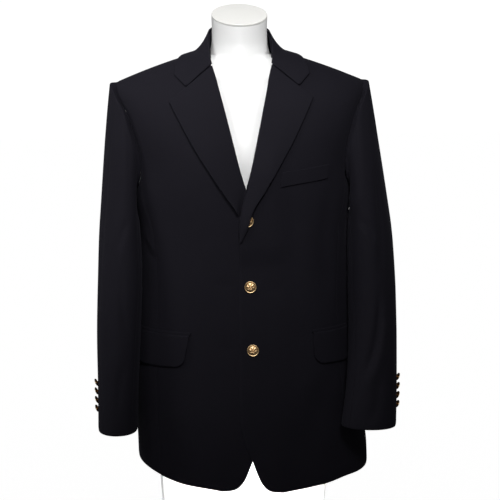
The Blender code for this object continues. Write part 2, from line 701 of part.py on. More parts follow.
def kept_above(points, out):
    """The points, with those nearer the jacket's shoulder than this moved out of it."""
    for _ in range(3):
        surface = on_shoulder(points[..., 0], points[..., 1], 0.0)
        normal = unit(on_shoulder(points[..., 0], points[..., 1], 0.001) - surface)
        lack = out - ((points - surface) * normal).sum(axis=-1, keepdims=True)
        points = points + normal * np.maximum(lack, 0.0)
    return points


def neckline(place):
    """The neck seam: -1 at the left gorge, 0 on the shoulder, 1 at centre back, then the right."""
    side = np.where(place > 1, -1.0, 1.0)
    place = np.where(place > 1, 2 - place, place)
    station = 1 + GORGE_SPAN * np.minimum(place, 0.0)
    edge_x = follow(FRONT_EDGE, "station", "across", station)
    front_height = height_at(edge_x, follow(FRONT_EDGE, "station", "z", station))
    across, back_height = back_neck(1 - np.maximum(place, 0.0))
    at_back = place > 0
    height = np.where(at_back, back_height, front_height)
    across = np.where(at_back, across, edge_x)
    return body(side * turn_at(across / level("left", height), height, at_back), height)


def collar_rows():
    """Stations round the neck from the left gorge to the right one."""
    mirrored = [
        row._replace(roll_x=-row.roll_x, edge_x=-row.edge_x, neck=2 - row.neck)
        for row in COLLAR[-2::-1]
    ]
    table = numbered(COLLAR + tuple(mirrored))
    places = np.linspace(0, len(table) - 1, COLLAR_STEPS * (len(table) - 1) + 1)
    row = {name: follow(table, "place", name, places) for name in Collar._fields}
    roll = np.stack([row["roll_x"], row["roll_y"], row["roll_z"]], axis=-1)
    edge = on_shoulder(row["edge_x"], row["edge_y"], COLLAR_LIFT)
    return roll, edge, neckline(row["neck"])


def gorge_row(roll, edge, side, u):
    """The collar's front end: along the gorge to the notch, then out to the collar's tip."""
    notch = on_front(side, np.array(NOTCH_X), height_at(NOTCH_X, NOTCH_Z), COLLAR_LIFT)
    gorge = blend(roll, notch, np.clip(u / NOTCH_SHARE, 0.0, 1.0))
    lead = blend(notch, edge, np.clip((u - NOTCH_SHARE) / (1 - NOTCH_SHARE), 0.0, 1.0))
    return np.where(u < NOTCH_SHARE, gorge, lead)


def collar_fall_grid():
    roll, edge, _ = collar_rows()
    u = np.linspace(0.0, 1.0, COLLAR_COLUMNS + 1)[:, None]
    reach = u**1.3
    fall = 1 - (1 - reach) ** 2.3
    share = np.concatenate([reach, reach, fall], axis=1)
    grid = blend(roll[:, None], edge[:, None], share)
    for end, step, side in ((0, 1, 1), (-1, -1, -1)):
        bend = gorge_row(roll[end], edge[end], side, u) - grid[end]
        for row in range(COLLAR_STEPS):
            grid[end + step * row] += bend * (1 - row / COLLAR_STEPS) ** 1.5
    return kept_above(grid, COLLAR_LIFT)


def collar_stand_grid():
    roll, _, seam = collar_rows()
    inward = unit(roll * np.array([-1.0, -1.0, 0.0]))
    top = roll + STAND_TUCK * inward - np.array([0.0, 0.0, STAND_DROP])
    foot = seam + STAND_FOOT_IN * inward + np.array([0.0, 0.0, STAND_FOOT_UP])
    u = np.linspace(0.0, 1.0, 4)[None, :, None]
    return blend(top[:, None], foot[:, None], u)[COLLAR_STEPS:-COLLAR_STEPS]


# ---------------------------------------------------------------- pockets
def along(side, height, start, lengths):
    """Turns of points at these lengths rearward along a ring from a distance across."""
    first = float(turn_at(start / half_width(side, height), height))
    turns = np.linspace(first, first + 1.4, 281)
    steps = np.linalg.norm(np.diff(body(side * turns, height), axis=0), axis=-1)
    return np.interp(lengths, np.concatenate([[0.0], np.cumsum(steps)]), turns)


def pocket_numbers(side):
    if side > 0:
        return FLAP_FRONT_LEFT, FLAP_SLANT_LEFT
    return FLAP_FRONT_RIGHT, FLAP_SLANT_RIGHT


def flap_grid(side, depth):
    front, slant = pocket_numbers(side)
    lengths = FLAP_CORNER * (1 - np.cos(np.linspace(0.0, math.pi / 2, 5)))
    lengths = np.concatenate([lengths, np.linspace(FLAP_CORNER, FLAP_LENGTH, 7)[1:]])
    inside = np.clip(1 - lengths / FLAP_CORNER, 0.0, 1.0)
    corner = FLAP_CORNER * (1 - np.sqrt(1 - inside**2))
    drop = FLAP_HEIGHT + FLAP_DIP * lengths / FLAP_LENGTH - corner
    v = np.linspace(0.0, 1.0, 4)[:, None]
    turns = along(side, FLAP_TOP, front, lengths)[None, :]
    slanted = slant / FLAP_RADIUS * v * (1 - lengths / FLAP_LENGTH)
    out = LAYER_GAP + FLAP_WALL - depth + FLAP_STANDOFF * v
    return facing_out(body(side * (turns + slanted), FLAP_TOP - v * drop, out)[::-1], side)


def jet_grid(side, depth):
    front, _ = pocket_numbers(side)
    lengths = np.linspace(-JET_END, FLAP_LENGTH + JET_END, 12)
    turns = along(side, FLAP_TOP, front - JET_END, lengths + JET_END)[None, :]
    heights = FLAP_TOP + JET_GAP + np.array([0.0, JET_HEIGHT])[:, None]
    return facing_out(body(side * turns, heights, LAYER_GAP + JET_WALL - depth), side)


def welt_grid(depth):
    u = np.linspace(0.0, 1.0, 8)[None, :]
    v = np.linspace(0.0, 1.0, 3)[:, None]
    across = blend(WELT_FRONT_X, WELT_BACK_X, u) + WELT_LEAN * v
    z = blend(WELT_FRONT_Z, WELT_BACK_Z, u) + WELT_HEIGHT * v
    height = height_at(across, z)
    lap = front_lap(1, across, height)
    return on_front(1, across, height, lap + LAYER_GAP + WELT_WALL - depth)


# ---------------------------------------------------------------- buttons
def facing_frame(point, normal):
    """Location and rotation of something that stands on a point and faces along a normal."""
    turned = Vector(tuple(normal)).to_track_quat("Z", "Y").to_matrix().to_4x4()
    turned.translation = Vector(tuple(point))
    return turned


def button(name, point, normal, size, shank, material, collection):
    """A domed button with a raised rim, turned around its own axis, on a short shank."""
    radius, dome = size
    outline = [(share * radius, rise_share * dome) for share, rise_share in BUTTON_OUTLINE]
    outline = [(0.0, -shank), (0.18 * radius, -shank), (0.18 * radius, 0.0)] + outline
    mesh = bpy.data.meshes.new(name)
    edges = [(at, at + 1) for at in range(len(outline) - 1)]
    mesh.from_pydata([(across, 0.0, up) for across, up in reversed(outline)], edges, [])
    made = new_object(name, mesh, material, collection)
    made.matrix_world = facing_frame(point, normal)
    screw = made.modifiers.new("Turned", "SCREW")
    screw.axis = "Z"
    screw.steps = BUTTON_SIDES
    screw.render_steps = BUTTON_SIDES
    screw.use_merge_vertices = True
    screw.merge_threshold = 0.00005
    screw.use_smooth_shade = True


def front_buttons(material, collection):
    for index, z in enumerate(FRONT_BUTTON_HEIGHTS, 1):
        out = float(front_lap(1, np.array(0.0), np.array(z))) + LAYER_GAP + FRONT_BUTTON_SHANK
        foot, above = on_front(1, np.zeros(2), z, np.array([out, out + 0.01]))
        size = (FRONT_BUTTON_RADIUS, FRONT_BUTTON_DOME)
        name = f"front_button_{index}"
        button(name, foot, above - foot, size, FRONT_BUTTON_SHANK, material, collection)


def sleeve_row(side, z):
    """The sleeve's section at a height, read through its rings."""
    table = SLEEVE_LEFT if side > 0 else SLEEVE_RIGHT
    upward = table[::-1]
    return Ring(z, *(float(follow(upward, "z", name, z)) for name in Ring._fields[1:]))


def cuff_buttons(side, material, collection):
    table = SLEEVE_LEFT if side > 0 else SLEEVE_RIGHT
    label = "left" if side > 0 else "right"
    droop = math.sin(CUFF_BUTTON_DROOP)
    for index in range(CUFF_BUTTON_COUNT):
        z = table[-1].z + CUFF_BUTTON_FIRST + CUFF_BUTTON_PITCH * index
        around = CUFF_BUTTON_TURN + np.array([-0.05, 0.0, 0.05])
        behind, foot, ahead = sleeve_ring(side, sleeve_row(side, z), around)
        outward = unit(np.array([side * (ahead - behind)[1], -side * (ahead - behind)[0], 0.0]))
        outward = outward * np.sign(outward[0] * side)
        normal = outward * math.cos(CUFF_BUTTON_DROOP) - np.array([0.0, 0.0, droop])
        size = (CUFF_BUTTON_RADIUS, CUFF_BUTTON_DOME)
        name = f"cuff_button_{label}_{index + 1}"
        point = foot + CUFF_BUTTON_STANDOFF * outward
        button(name, point, normal, size, CUFF_BUTTON_SHANK, material, collection)


# ---------------------------------------------------------------- the dress form
def form_ring(height, inset, turns):
    """One of the jacket's rings without the sway, drawn in level."""
    ring = body_point(turns, np.full(len(turns), height), swaying=False)
    ahead = body_point(turns + 1e-3, np.full(len(turns), height), swaying=False)
    behind = body_point(turns - 1e-3, np.full(len(turns), height), swaying=False)
    around = ahead - behind
    outward = unit(np.stack([-around[:, 1], around[:, 0], np.zeros(len(turns))], axis=-1))
    outward *= np.sign((outward * (ring - [0.0, RIDGE_Y, 0.0])).sum(axis=-1, keepdims=True))
    return ring - inset * outward


def neck_ring(row, turns):
    x = row.half_across * np.sin(turns)
    y = row.centre_y - row.half_deep * np.cos(turns)
    slant = NECK_TILT * ease((row.z - FORM_NECK[0].z) / (FORM_NECK[-1].z - FORM_NECK[0].z))
    return np.stack([x, y, row.z + slant * (y - row.centre_y)], axis=-1)


def form_rings():
    turns = (np.arange(FORM_SIDES) + 0.5) * 2 * math.pi / FORM_SIDES
    rings = []
    for height in FORM_HEIGHTS:
        inset = float(follow(FORM_BODY, "height", "inset", height))
        rings.append(form_ring(height, inset, turns))
    shoulder, base = rings[-1], neck_ring(FORM_NECK[0], turns)
    for share in FORM_SHOULDER_STEPS:
        plan = blend(shoulder, base, share)
        top = on_shoulder(plan[:, 0], plan[:, 1], 0.0)[:, 2]
        rings.append(np.stack([plan[:, 0], plan[:, 1], top - FORM_CLEARANCE], axis=-1))
    for z in FORM_NECK_HEIGHTS:
        row = Neck(z, *(float(follow(FORM_NECK, "z", name, z)) for name in Neck._fields[1:]))
        rings.append(neck_ring(row, turns))
    rings[0][:, 2] = 0.0
    return np.array(rings)


def form_cap(rings):
    """A thin plate that closes the slanted neck, with a rounded rim."""
    top = rings[-1]
    centre = top.mean(axis=0)
    lift = unit(np.array([0.0, -NECK_TILT, 1.0]))
    steps = ((0.0, 0.975), (0.12, 1.0), (0.72, 1.0), (0.93, 0.985), (1.0, 0.955))
    plates = [
        centre + (top - centre) * size + lift * (SEAM_GAP + CAP_HEIGHT * share)
        for share, size in steps
    ]
    return np.array(plates)


# ---------------------------------------------------------------- the whole part
def build_jacket(collection):
    cloth = finish_material("navy worsted", CLOTH)
    for side, label in ((1, "left"), (-1, "right")):
        pieces = (
            ("front", front_panel, WALL),
            ("side", side_panel, WALL),
            ("back", back_panel, WALL),
            ("lapel", lapel_grid, LAPEL_WALL),
            ("flap", flap_grid, FLAP_WALL),
            ("jet", jet_grid, JET_WALL),
        )
        for name, grid, wall in pieces:
            sheet(f"{name}_{label}", grid(side, 0.0), grid(side, wall), cloth, collection)
        sleeves(side, cloth, collection)
    sheet("breast_welt", welt_grid(0.0), welt_grid(WELT_WALL), cloth, collection)
    for name, grid, wall in (
        ("collar_fall", collar_fall_grid(), COLLAR_WALL),
        ("collar_stand", collar_stand_grid(), STAND_WALL),
    ):
        sheet(name, grid, grid - wall * grid_normals(grid), cloth, collection)


def build_buttons(collection):
    brass = finish_material("brass", BRASS)
    front_buttons(brass, collection)
    for side in (1, -1):
        cuff_buttons(side, brass, collection)


def build_form(collection):
    rings = form_rings()
    white = finish_material("form white", FORM_WHITE)
    loft("form_body", rings, white, collection)
    cap = finish_material("form cap", CAP_WHITE)
    loft("form_neck_cap", form_cap(rings), cap, collection)


def main():
    for existing in list(bpy.data.objects):
        bpy.data.objects.remove(existing, do_unlink=True)
    collection = bpy.data.collections.new("Blazer on a dress form")
    bpy.context.scene.collection.children.link(collection)
    build_form(collection)
    build_jacket(collection)
    build_buttons(collection)


main()
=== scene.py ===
"""A buttoned navy blazer on a white limbless dress form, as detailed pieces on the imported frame.

Lengths are metres, +Z is up, +X is the wearer's left and the fronts face -Y. Every panel of cloth
is cut from one surface, body(), read by a turn around the wearer (0 at centre front, a quarter turn
at the wearer's left side, half a turn at centre back) and a height. Creases are added to it there,
so flaps, lapels and buttons follow them.
"""

import json
import math
from collections import namedtuple

import bpy
import numpy as np
from bpy.props import FloatProperty, FloatVectorProperty, PointerProperty
from bpy.types import Operator, Panel, PropertyGroup
from mathutils import Matrix, Vector

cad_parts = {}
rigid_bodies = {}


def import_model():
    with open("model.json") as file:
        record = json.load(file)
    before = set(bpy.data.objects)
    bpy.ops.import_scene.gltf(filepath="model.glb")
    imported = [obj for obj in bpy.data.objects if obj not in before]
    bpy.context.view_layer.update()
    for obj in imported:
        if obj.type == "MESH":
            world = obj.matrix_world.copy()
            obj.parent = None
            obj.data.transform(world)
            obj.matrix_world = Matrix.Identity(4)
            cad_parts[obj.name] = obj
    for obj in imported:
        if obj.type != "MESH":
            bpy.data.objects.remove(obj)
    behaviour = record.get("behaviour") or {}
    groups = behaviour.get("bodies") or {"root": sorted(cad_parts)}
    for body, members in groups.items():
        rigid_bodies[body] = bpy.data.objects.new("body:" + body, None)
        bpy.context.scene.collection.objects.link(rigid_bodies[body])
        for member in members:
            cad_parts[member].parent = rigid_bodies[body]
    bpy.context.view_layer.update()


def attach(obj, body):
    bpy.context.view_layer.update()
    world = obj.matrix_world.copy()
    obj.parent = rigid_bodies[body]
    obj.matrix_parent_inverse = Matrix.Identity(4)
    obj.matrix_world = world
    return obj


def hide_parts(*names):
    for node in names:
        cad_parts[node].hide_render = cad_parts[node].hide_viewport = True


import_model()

bl_info = {
    "name": "Blazer on a dress form",
    "version": (1, 0, 0),
    "blender": (4, 5, 0),
    "location": "3D View > Sidebar > Blazer",
    "description": "Builds a navy blazer with brass buttons on a white dress form, piece by piece",
    "category": "Add Mesh",
}

HALVES = ((1, "left"), (-1, "right"))  # the wearer's sides, by the sign of x


def rows(kind, *values):
    """A table with one row of a kind for each tuple of values."""
    return tuple(kind(*row) for row in values)


# ---------------------------------------------------------------- driving sizes
WALL = 0.0018           # jacket cloth with its canvas
SLEEVE_GAP = 0.0004     # between the sleeve head and the armhole
SLEEVE_SEAM = 0.0008    # between the two pieces of a sleeve
SEAM_GAP = 0.0003       # between neighbouring pieces at a seam
SEAM_TURN = 0.0015      # half that gap as a turn at the side seams
LAYER_GAP = 0.0006      # between a piece and the panel it lies on
ARMPIT = 0.645          # lowest point of the armhole
RISE_FROM = 0.655       # above this height the rings tilt towards the shoulder line
NAPE = 0.925            # height at which the shoulder line would cross the centre
SHOULDER_SLOPE = 0.199  # fall of the shoulder line for each metre from the centre
SHOULDER_CURVE = 0.51   # and its growth with the distance squared
NAPE_LIFT = 0.030       # how much higher the back stands behind the neck
NECK_REACH = 0.075      # half width of the neck opening on the shoulder line
SHOULDER_ROUND = 2.4    # power of the rounding from chest to shoulder seam
RIDGE_POWER = 8         # the shoulder seam's gap opens only near the shoulder line
RIDGE_Y = 0.005         # the shoulder seams lie on this plane

# Rings of the jacket. The powers are the squareness of a ring's front and back half, and shift is
# the sway of the skirt towards the wearer's left.
Level = namedtuple("Level", "height left right front back front_power back_power shift")
LEVELS = rows(
    Level,
    (0.090, 0.2300, 0.2095, 0.1330, 0.1230, 2.4, 2.3, 0.0080),
    (0.165, 0.2270, 0.2085, 0.1320, 0.1200, 2.4, 2.3, 0.0088),
    (0.280, 0.2055, 0.2130, 0.1305, 0.1130, 2.4, 2.3, 0.0108),
    (0.374, 0.1950, 0.2075, 0.1290, 0.1020, 2.4, 2.4, 0.0104),
    (0.490, 0.1935, 0.1975, 0.1280, 0.0930, 2.4, 2.5, 0.0070),
    (0.580, 0.1952, 0.1935, 0.1295, 0.0980, 2.4, 2.6, 0.0036),
    (0.655, 0.2030, 0.2006, 0.1315, 0.1070, 2.4, 2.8, 0.0008),
    (0.703, 0.2018, 0.2005, 0.1320, 0.1120, 2.4, 3.1, 0.0000),
    (0.750, 0.2065, 0.2065, 0.1300, 0.1150, 2.5, 3.2, 0.0000),
    (0.812, 0.2165, 0.2165, 0.1210, 0.1150, 2.8, 3.4, 0.0000),
    (0.879, 0.2265, 0.2265, 0.1080, 0.1090, 3.3, 3.7, 0.0000),
    (0.925, 0.2275, 0.2275, 0.1020, 0.1040, 3.6, 3.9, 0.0000),
)

# The front panel's outer edge: side seam up to the armhole, then the armhole's front.
# The back panel's likewise. Each is a share of the ring's half width.
Side = namedtuple("Side", "height front back")
SIDES = rows(
    Side,
    (0.090, 0.820, 0.740),
    (0.300, 0.830, 0.740),
    (0.500, 0.850, 0.770),
    (0.600, 0.885, 0.850),
    (0.682, 0.930, 0.962),
    (0.703, 0.921, 0.968),
    (0.750, 0.920, 0.962),
    (0.776, 0.931, 0.960),
    (0.812, 0.942, 0.965),
    (0.853, 0.9685, 0.973),
    (0.879, 0.980, 0.980),
    (0.925, 0.991, 0.991),
)
SEAM_TOP = 0.682        # where both side seams run into the armhole
ARMPIT_POWER = 2.2      # how flat the armhole's lowest part is
SEAM_SHARE = 0.74       # share of a panel's rows below that height

# Hem height by the turn from centre front, for the wearer's left and right half.
Hem = namedtuple("Hem", "turn left right")
HEM = rows(
    Hem,
    (0.00, 0.1045, 0.1095),
    (0.30, 0.1060, 0.1115),
    (0.55, 0.1125, 0.1175),
    (0.80, 0.1215, 0.1295),
    (1.05, 0.1235, 0.1395),
    (1.57, 0.1280, 0.1490),
    (2.20, 0.1330, 0.1420),
    (3.15, 0.1330, 0.1330),
)
HEM_GUESS = 0.12        # a height near the hem to start from
HEM_READ = 0.10         # the seams' turns at the hem are read here

# The front's free edge, from the rounded hem corner up to the roll line and the neck.
# across runs from the centre line towards the panel's own side.
Edge = namedtuple("Edge", "station across z")
FRONT_EDGE = rows(
    Edge,
    (0.00, 0.0560, 0.1045),
    (0.04, 0.0330, 0.1085),
    (0.08, 0.0195, 0.1205),
    (0.12, 0.0110, 0.1370),
    (0.16, 0.0010, 0.1640),
    (0.21, -0.0125, 0.1950),
    (0.27, -0.0215, 0.2320),
    (0.36, -0.0245, 0.3000),
    (0.46, -0.0230, 0.4000),
    (0.54, -0.0190, 0.5000),
    (0.60, -0.0160, 0.5680),
    (0.64, -0.0148, 0.6050),
    (0.68, -0.0100, 0.6350),
    (0.72, -0.0015, 0.6610),
    (0.76, 0.0100, 0.7015),
    (0.81, 0.0225, 0.7545),
    (0.86, 0.0345, 0.8060),
    (0.90, 0.0430, 0.8410),
    (0.94, 0.0515, 0.8750),
    (0.97, 0.0620, 0.8960),
    (1.00, 0.0750, 0.9071),
)
CORNER_STATION = 0.2    # the rounded corner moves with its half's hem up to here,
HEM_POWER = 6           # and the rows follow the hem, less and less from row to row
BACK_NECK = 0.88        # rise of the back neck seam at the centre, as a share
BACK_NECK_FROM = 0.87   # station of the back panel where its centre seam meets the neck
LAP = 0.0026            # how far the left front stands off the right one at the buttons
LAP_AT_ROLL = 0.0072    # and where the right lapel runs in between
LAP_WIDTH = 0.040       # full lap reaches this far from the centre line
LAP_FADE = 0.050        # and then fades out over this width
LAP_ROLL_FROM, LAP_ROLL_RUN = 0.522, 0.045  # height at which the lapel comes in between, its run
LAP_TOP, LAP_TOP_FADE = 0.69, 0.08          # and where the lap ends again
VENT_TOP = 0.360
VENT_WIDTH = 0.035
VENT_LAP = 0.0026
VENT_CORNER = 0.012     # height over which the vent's flap begins
VENT_NEAR, VENT_NEAR_FADE = 0.03, 0.05      # the lap's reach from the centre and its fade
VENT_ABOVE, VENT_ABOVE_FADE = 0.11, 0.06    # and its reach above the vent

# Lapel rows, from the roll line to the free edge. rise is how far the edge stands off.
Lapel = namedtuple("Lapel", "roll_x roll_z edge_x edge_z rise")
LAPEL = rows(
    Lapel,
    (-0.0155, 0.5720, -0.0125, 0.5740, 0.0010),
    (-0.0144, 0.6050, 0.0035, 0.6050, 0.0084),
    (-0.0096, 0.6350, 0.0165, 0.6335, 0.0084),
    (-0.0010, 0.6610, 0.0335, 0.6590, 0.0072),
    (0.0105, 0.7015, 0.0590, 0.6995, 0.0060),
    (0.0230, 0.7545, 0.0846, 0.7410, 0.0052),
    (0.0350, 0.8060, 0.1074, 0.7830, 0.0046),
    (0.0460, 0.8530, 0.1245, 0.8160, 0.0040),
    (0.0535, 0.8822, 0.1275, 0.8228, 0.0034),
)
LAPEL_WALL = 0.0026     # facing, canvas and front folded together
LAPEL_CLEAR = 0.003     # the right lapel starts clear of the left front's roll line
LAPEL_NARROW = 0.004    # and is never taken for narrower than this
LAPEL_COLUMNS = 24
RIGHT_LAPEL_SPREAD = 0.0035  # the wearer's right lapel lies wider and lower
RIGHT_LAPEL_DROP = 0.0023

# The collar, from the wearer's left gorge to centre back. neck is the place on the neck seam: -1 at
# the gorge, 0 on the shoulder, 1 at centre back. Heights of the fall's edge come from the body.
Collar = namedtuple("Collar", "roll_x roll_y roll_z edge_x edge_y neck")
COLLAR = rows(
    Collar,
    (0.0540, -0.0560, 0.8875, 0.1213, -0.0555, -0.90),
    (0.0572, -0.0420, 0.9020, 0.1190, -0.0400, -0.55),
    (0.0586, -0.0230, 0.9215, 0.1130, -0.0200, -0.25),
    (0.0578, 0.0020, 0.9390, 0.1030, 0.0040, 0.05),
    (0.0535, 0.0280, 0.9485, 0.0890, 0.0330, 0.35),
    (0.0385, 0.0520, 0.9530, 0.0600, 0.0590, 0.67),
    (0.0000, 0.0665, 0.9545, 0.0000, 0.0755, 1.00),
)
NOTCH_X, NOTCH_Z = 0.1010, 0.8462   # inner corner of the notch, where the gorge ends
NOTCH_SHARE = 0.60                  # its place along the collar's front end
COLLAR_LIFT = 0.0042
COLLAR_WALL = 0.0022
STAND_WALL = 0.0018
STAND_TUCK, STAND_DROP = 0.0030, 0.0045  # the stand's top edge inside and under the roll
STAND_FOOT_IN, STAND_FOOT_UP = 0.0010, 0.0014  # its foot inside and above the neck seam
GORGE_SPAN = 0.06                        # share of the front's edge between gorge and shoulder
COLLAR_REACH_POWER, COLLAR_FALL_POWER = 1.3, 2.3  # how the fall leaves the roll and comes down
COLLAR_END_POWER = 1.5                   # how the shape of its front ends runs out
# Rounds, share of each step, first and highest share, to find a place of the shoulder by its plan.
SETTLE_ROUNDS, SETTLE_STEP, SETTLE_START, SETTLE_END = 40, 0.6, 0.9, 0.999

# Sleeve sections at rest, side by side: centre, half sizes and turn of each ring.
Ring = namedtuple("Ring", "z across forward half_across half_deep turn")
SLEEVE_LEFT = rows(
    Ring,
    (0.600, 0.2368, 0.024, 0.0378, 0.0760, 0.30),
    (0.500, 0.2380, 0.046, 0.0427, 0.0690, 0.30),
    (0.400, 0.2366, 0.074, 0.0446, 0.0600, 0.20),
    (0.300, 0.2305, 0.104, 0.0465, 0.0490, 0.20),
    (0.229, 0.2230, 0.120, 0.0505, 0.0410, 0.20),
)
SLEEVE_RIGHT = rows(
    Ring,
    (0.600, 0.2263, 0.018, 0.0336, 0.0770, 0.20),
    (0.500, 0.2275, 0.038, 0.0387, 0.0700, 0.20),
    (0.400, 0.2315, 0.054, 0.0400, 0.0640, 0.10),
    (0.300, 0.2346, 0.068, 0.0374, 0.0580, 0.06),
    (0.222, 0.2366, 0.078, 0.0364, 0.0520, 0.00),
)
SLEEVE_POWER = 2.15
SLEEVE_TWIST = (0.0, 0.30, 0.90, 1.50, 1.63)  # how far the hind seam turns outward at each ring

# How the sleeve leaves the armhole, by the turn from the shoulder point to the front.
Head = namedtuple("Head", "turn out spread")
SLEEVE_HEAD = rows(
    Head,
    (0.000, 0.0135, -0.0050),
    (0.500, 0.0130, 0.0010),
    (0.900, 0.0115, 0.0080),
    (1.570, 0.0090, 0.0100),
    (2.200, 0.0070, 0.0050),
    (3.142, 0.0050, -0.0030),
    (4.100, 0.0070, 0.0050),
    (4.712, 0.0100, 0.0100),
    (5.380, 0.0115, 0.0080),
    (5.780, 0.0130, 0.0010),
    (6.284, 0.0135, -0.0050),
)
ARMHOLE_MIDDLE = 0.75   # height of the point that the head spreads from
HEAD_LEAN = 0.3         # share by which the sleeve's first step leans inward

LOW_ROWS, HIGH_ROWS = 120, 40     # rows of a panel below and above the top of the side seams
FRONT_COLUMNS, SIDE_COLUMNS, BACK_COLUMNS = 52, 30, 46
COLLAR_COLUMNS, COLLAR_STEPS = 22, 12
STAND_COLUMNS = 8
FLAP_ROWS, FLAP_CORNER_STEPS, FLAP_COLUMNS = 18, 12, 40
JET_COLUMNS, JET_ROWS, WELT_COLUMNS, WELT_ROWS = 50, 4, 40, 12
GATHER = 0.8            # how strongly columns draw together at a panel's seams
SHOULDER_ROWS_POWER = 1.7  # and rows towards the shoulder seam
LAPEL_ROWS = 120
SLEEVE_STEPS = (12, 36, 16, 22, 20, 16)  # rows of a sleeve between its knots

# Pockets: heights above the base, front end from the centre line, length along the cloth.
FLAP_TOP, FLAP_HEIGHT, FLAP_LENGTH = 0.4010, 0.0590, 0.1350
FLAP_FRONT_LEFT, FLAP_FRONT_RIGHT = 0.1120, 0.1130
FLAP_SLANT_LEFT, FLAP_SLANT_RIGHT = -0.0010, 0.0080
FLAP_WALL, FLAP_CORNER, FLAP_DIP = 0.0024, 0.0200, 0.0030
FLAP_STANDOFF = 0.0012  # how far its lower edge stands off
FLAP_RADIUS = 0.190     # from the wearer's middle to the flaps
POCKET_TURN, POCKET_STEPS = 1.4, 280    # the cloth is measured over this turn, in these steps
JET_HEIGHT, JET_WALL, JET_GAP, JET_END = 0.0050, 0.0016, 0.0005, 0.0020
WELT_FRONT_X, WELT_FRONT_Z = 0.0610, 0.6705
WELT_BACK_X, WELT_BACK_Z = 0.1490, 0.6815
WELT_HEIGHT, WELT_WALL, WELT_LEAN = 0.0250, 0.0022, 0.0020

# Buttons.
FRONT_BUTTON_HEIGHTS = (0.6115, 0.4910, 0.3745)
FRONT_BUTTON_RADIUS, FRONT_BUTTON_DOME = 0.0109, 0.0042
CUFF_BUTTON_RADIUS, CUFF_BUTTON_DOME = 0.0072, 0.0026
CUFF_BUTTON_PITCH, CUFF_BUTTON_FIRST, CUFF_BUTTON_COUNT = 0.0160, 0.0320, 4
CUFF_BUTTON_TURN, CUFF_BUTTON_DROOP, CUFF_BUTTON_STANDOFF = -0.42, 0.42, 0.0046
FRONT_BUTTON_SHANK, CUFF_BUTTON_SHANK = 0.0006, 0.0022
BUTTON_SIDES = 64
BUTTON_DOME_ROWS = 26
BUTTON_FOOT, BUTTON_BACK = 0.18, 0.60   # radius of the shank and of the flat back, as shares
BUTTON_TOP, BUTTON_TIP, BUTTON_RELIEF = 0.93, 0.98, 0.11  # heights as shares of the dome
BUTTON_SHARP = 50       # degrees between faces from which an edge is sharp
PETALS, PETAL_TWIST = 6, 3.0            # number of petals and how far they curve, in radians
PETAL_FIELD = (0.33, 0.69, 0.08)        # radii between which they stand and the run of both ends
RELIEF_RINGS, RING_HEIGHT = ((0.30, 0.05), (0.70, 0.04)), 0.8  # radius and width of each ring
BOSS_RADIUS, BOSS_RUN, BOSS_HEIGHT = 0.16, 0.06, 0.6
BRIGHT_FROM, BRIGHTNESS = 0.84, 0.8     # the rim is worn bright from this radius on
CUFF_BUTTON_SPAN = 0.05  # the cuff's direction is read this far to each side of a button
BUTTON_RIM = (          # from the back's edge over the rim to the foot of the dome
    (0.92, 0.00),
    (0.97, 0.05),
    (1.00, 0.18),
    (1.00, 0.34),
    (0.975, 0.43),
    (0.94, 0.47),
    (0.90, 0.46),
    (0.87, 0.42),
    (0.845, 0.40),
)

# The dress form: inset is how far it lies inside the jacket, as read off the jacket's rings.
Form = namedtuple("Form", "height inset")
FORM_BODY = rows(
    Form,
    (0.000, 0.0620),
    (0.030, 0.0570),
    (0.200, 0.0450),
    (0.400, 0.0210),
    (0.520, 0.0130),
    (0.650, 0.0110),
    (0.780, 0.0100),
    (0.862, 0.0100),
)
FORM_HEIGHTS = (0.0, 0.012, *np.linspace(0.03, 0.85, 42), 0.862)
FORM_SHOULDER_STEPS = np.linspace(0.05, 0.95, 19)
FORM_CLEARANCE = 0.0100
Neck = namedtuple("Neck", "z half_across half_deep centre_y")
FORM_NECK = rows(
    Neck,
    (0.9020, 0.0560, 0.0550, 0.0060),
    (0.9200, 0.0518, 0.0520, 0.0040),
    (0.9450, 0.0505, 0.0510, 0.0020),
    (0.9700, 0.0510, 0.0510, 0.0000),
)
NECK_TILT = 0.37        # fall of the slanted neck top for each metre forward
FORM_NECK_HEIGHTS = np.linspace(0.902, 0.971, 16)
CAP_HEIGHT = 0.0040
CAP_RIM = ((0.0, 0.975), (0.12, 1.0), (0.72, 1.0), (0.93, 0.985), (1.0, 0.955))  # height, size
FORM_SHARP = 35
FORM_SIDES = 120

# Each piece's cut, flat on the table: width, length and area.
Cut = namedtuple("Cut", "width length area")
CUTS = {
    "front_left": Cut(0.221, 0.903, 0.1600),
    "side_left": Cut(0.215, 0.563, 0.0981),
    "back_left": Cut(0.251, 0.927, 0.1532),
    "sleeve_under_left": Cut(0.156, 0.498, 0.0604),
    "sleeve_top_left": Cut(0.428, 0.658, 0.1295),
    "lapel_left": Cut(0.096, 0.338, 0.0154),
    "flap_left": Cut(0.154, 0.062, 0.0084),
    "front_right": Cut(0.232, 0.901, 0.1586),
    "side_right": Cut(0.211, 0.552, 0.0946),
    "back_right": Cut(0.251, 0.902, 0.1451),
    "sleeve_under_right": Cut(0.157, 0.484, 0.0610),
    "sleeve_top_right": Cut(0.428, 0.651, 0.1259),
    "lapel_right": Cut(0.104, 0.338, 0.0175),
    "flap_right": Cut(0.146, 0.062, 0.0081),
    "collar_fall": Cut(0.099, 0.454, 0.0246),
    "collar_stand": Cut(0.040, 0.319, 0.0093),
    "breast_welt": Cut(0.096, 0.025, 0.0024),
}

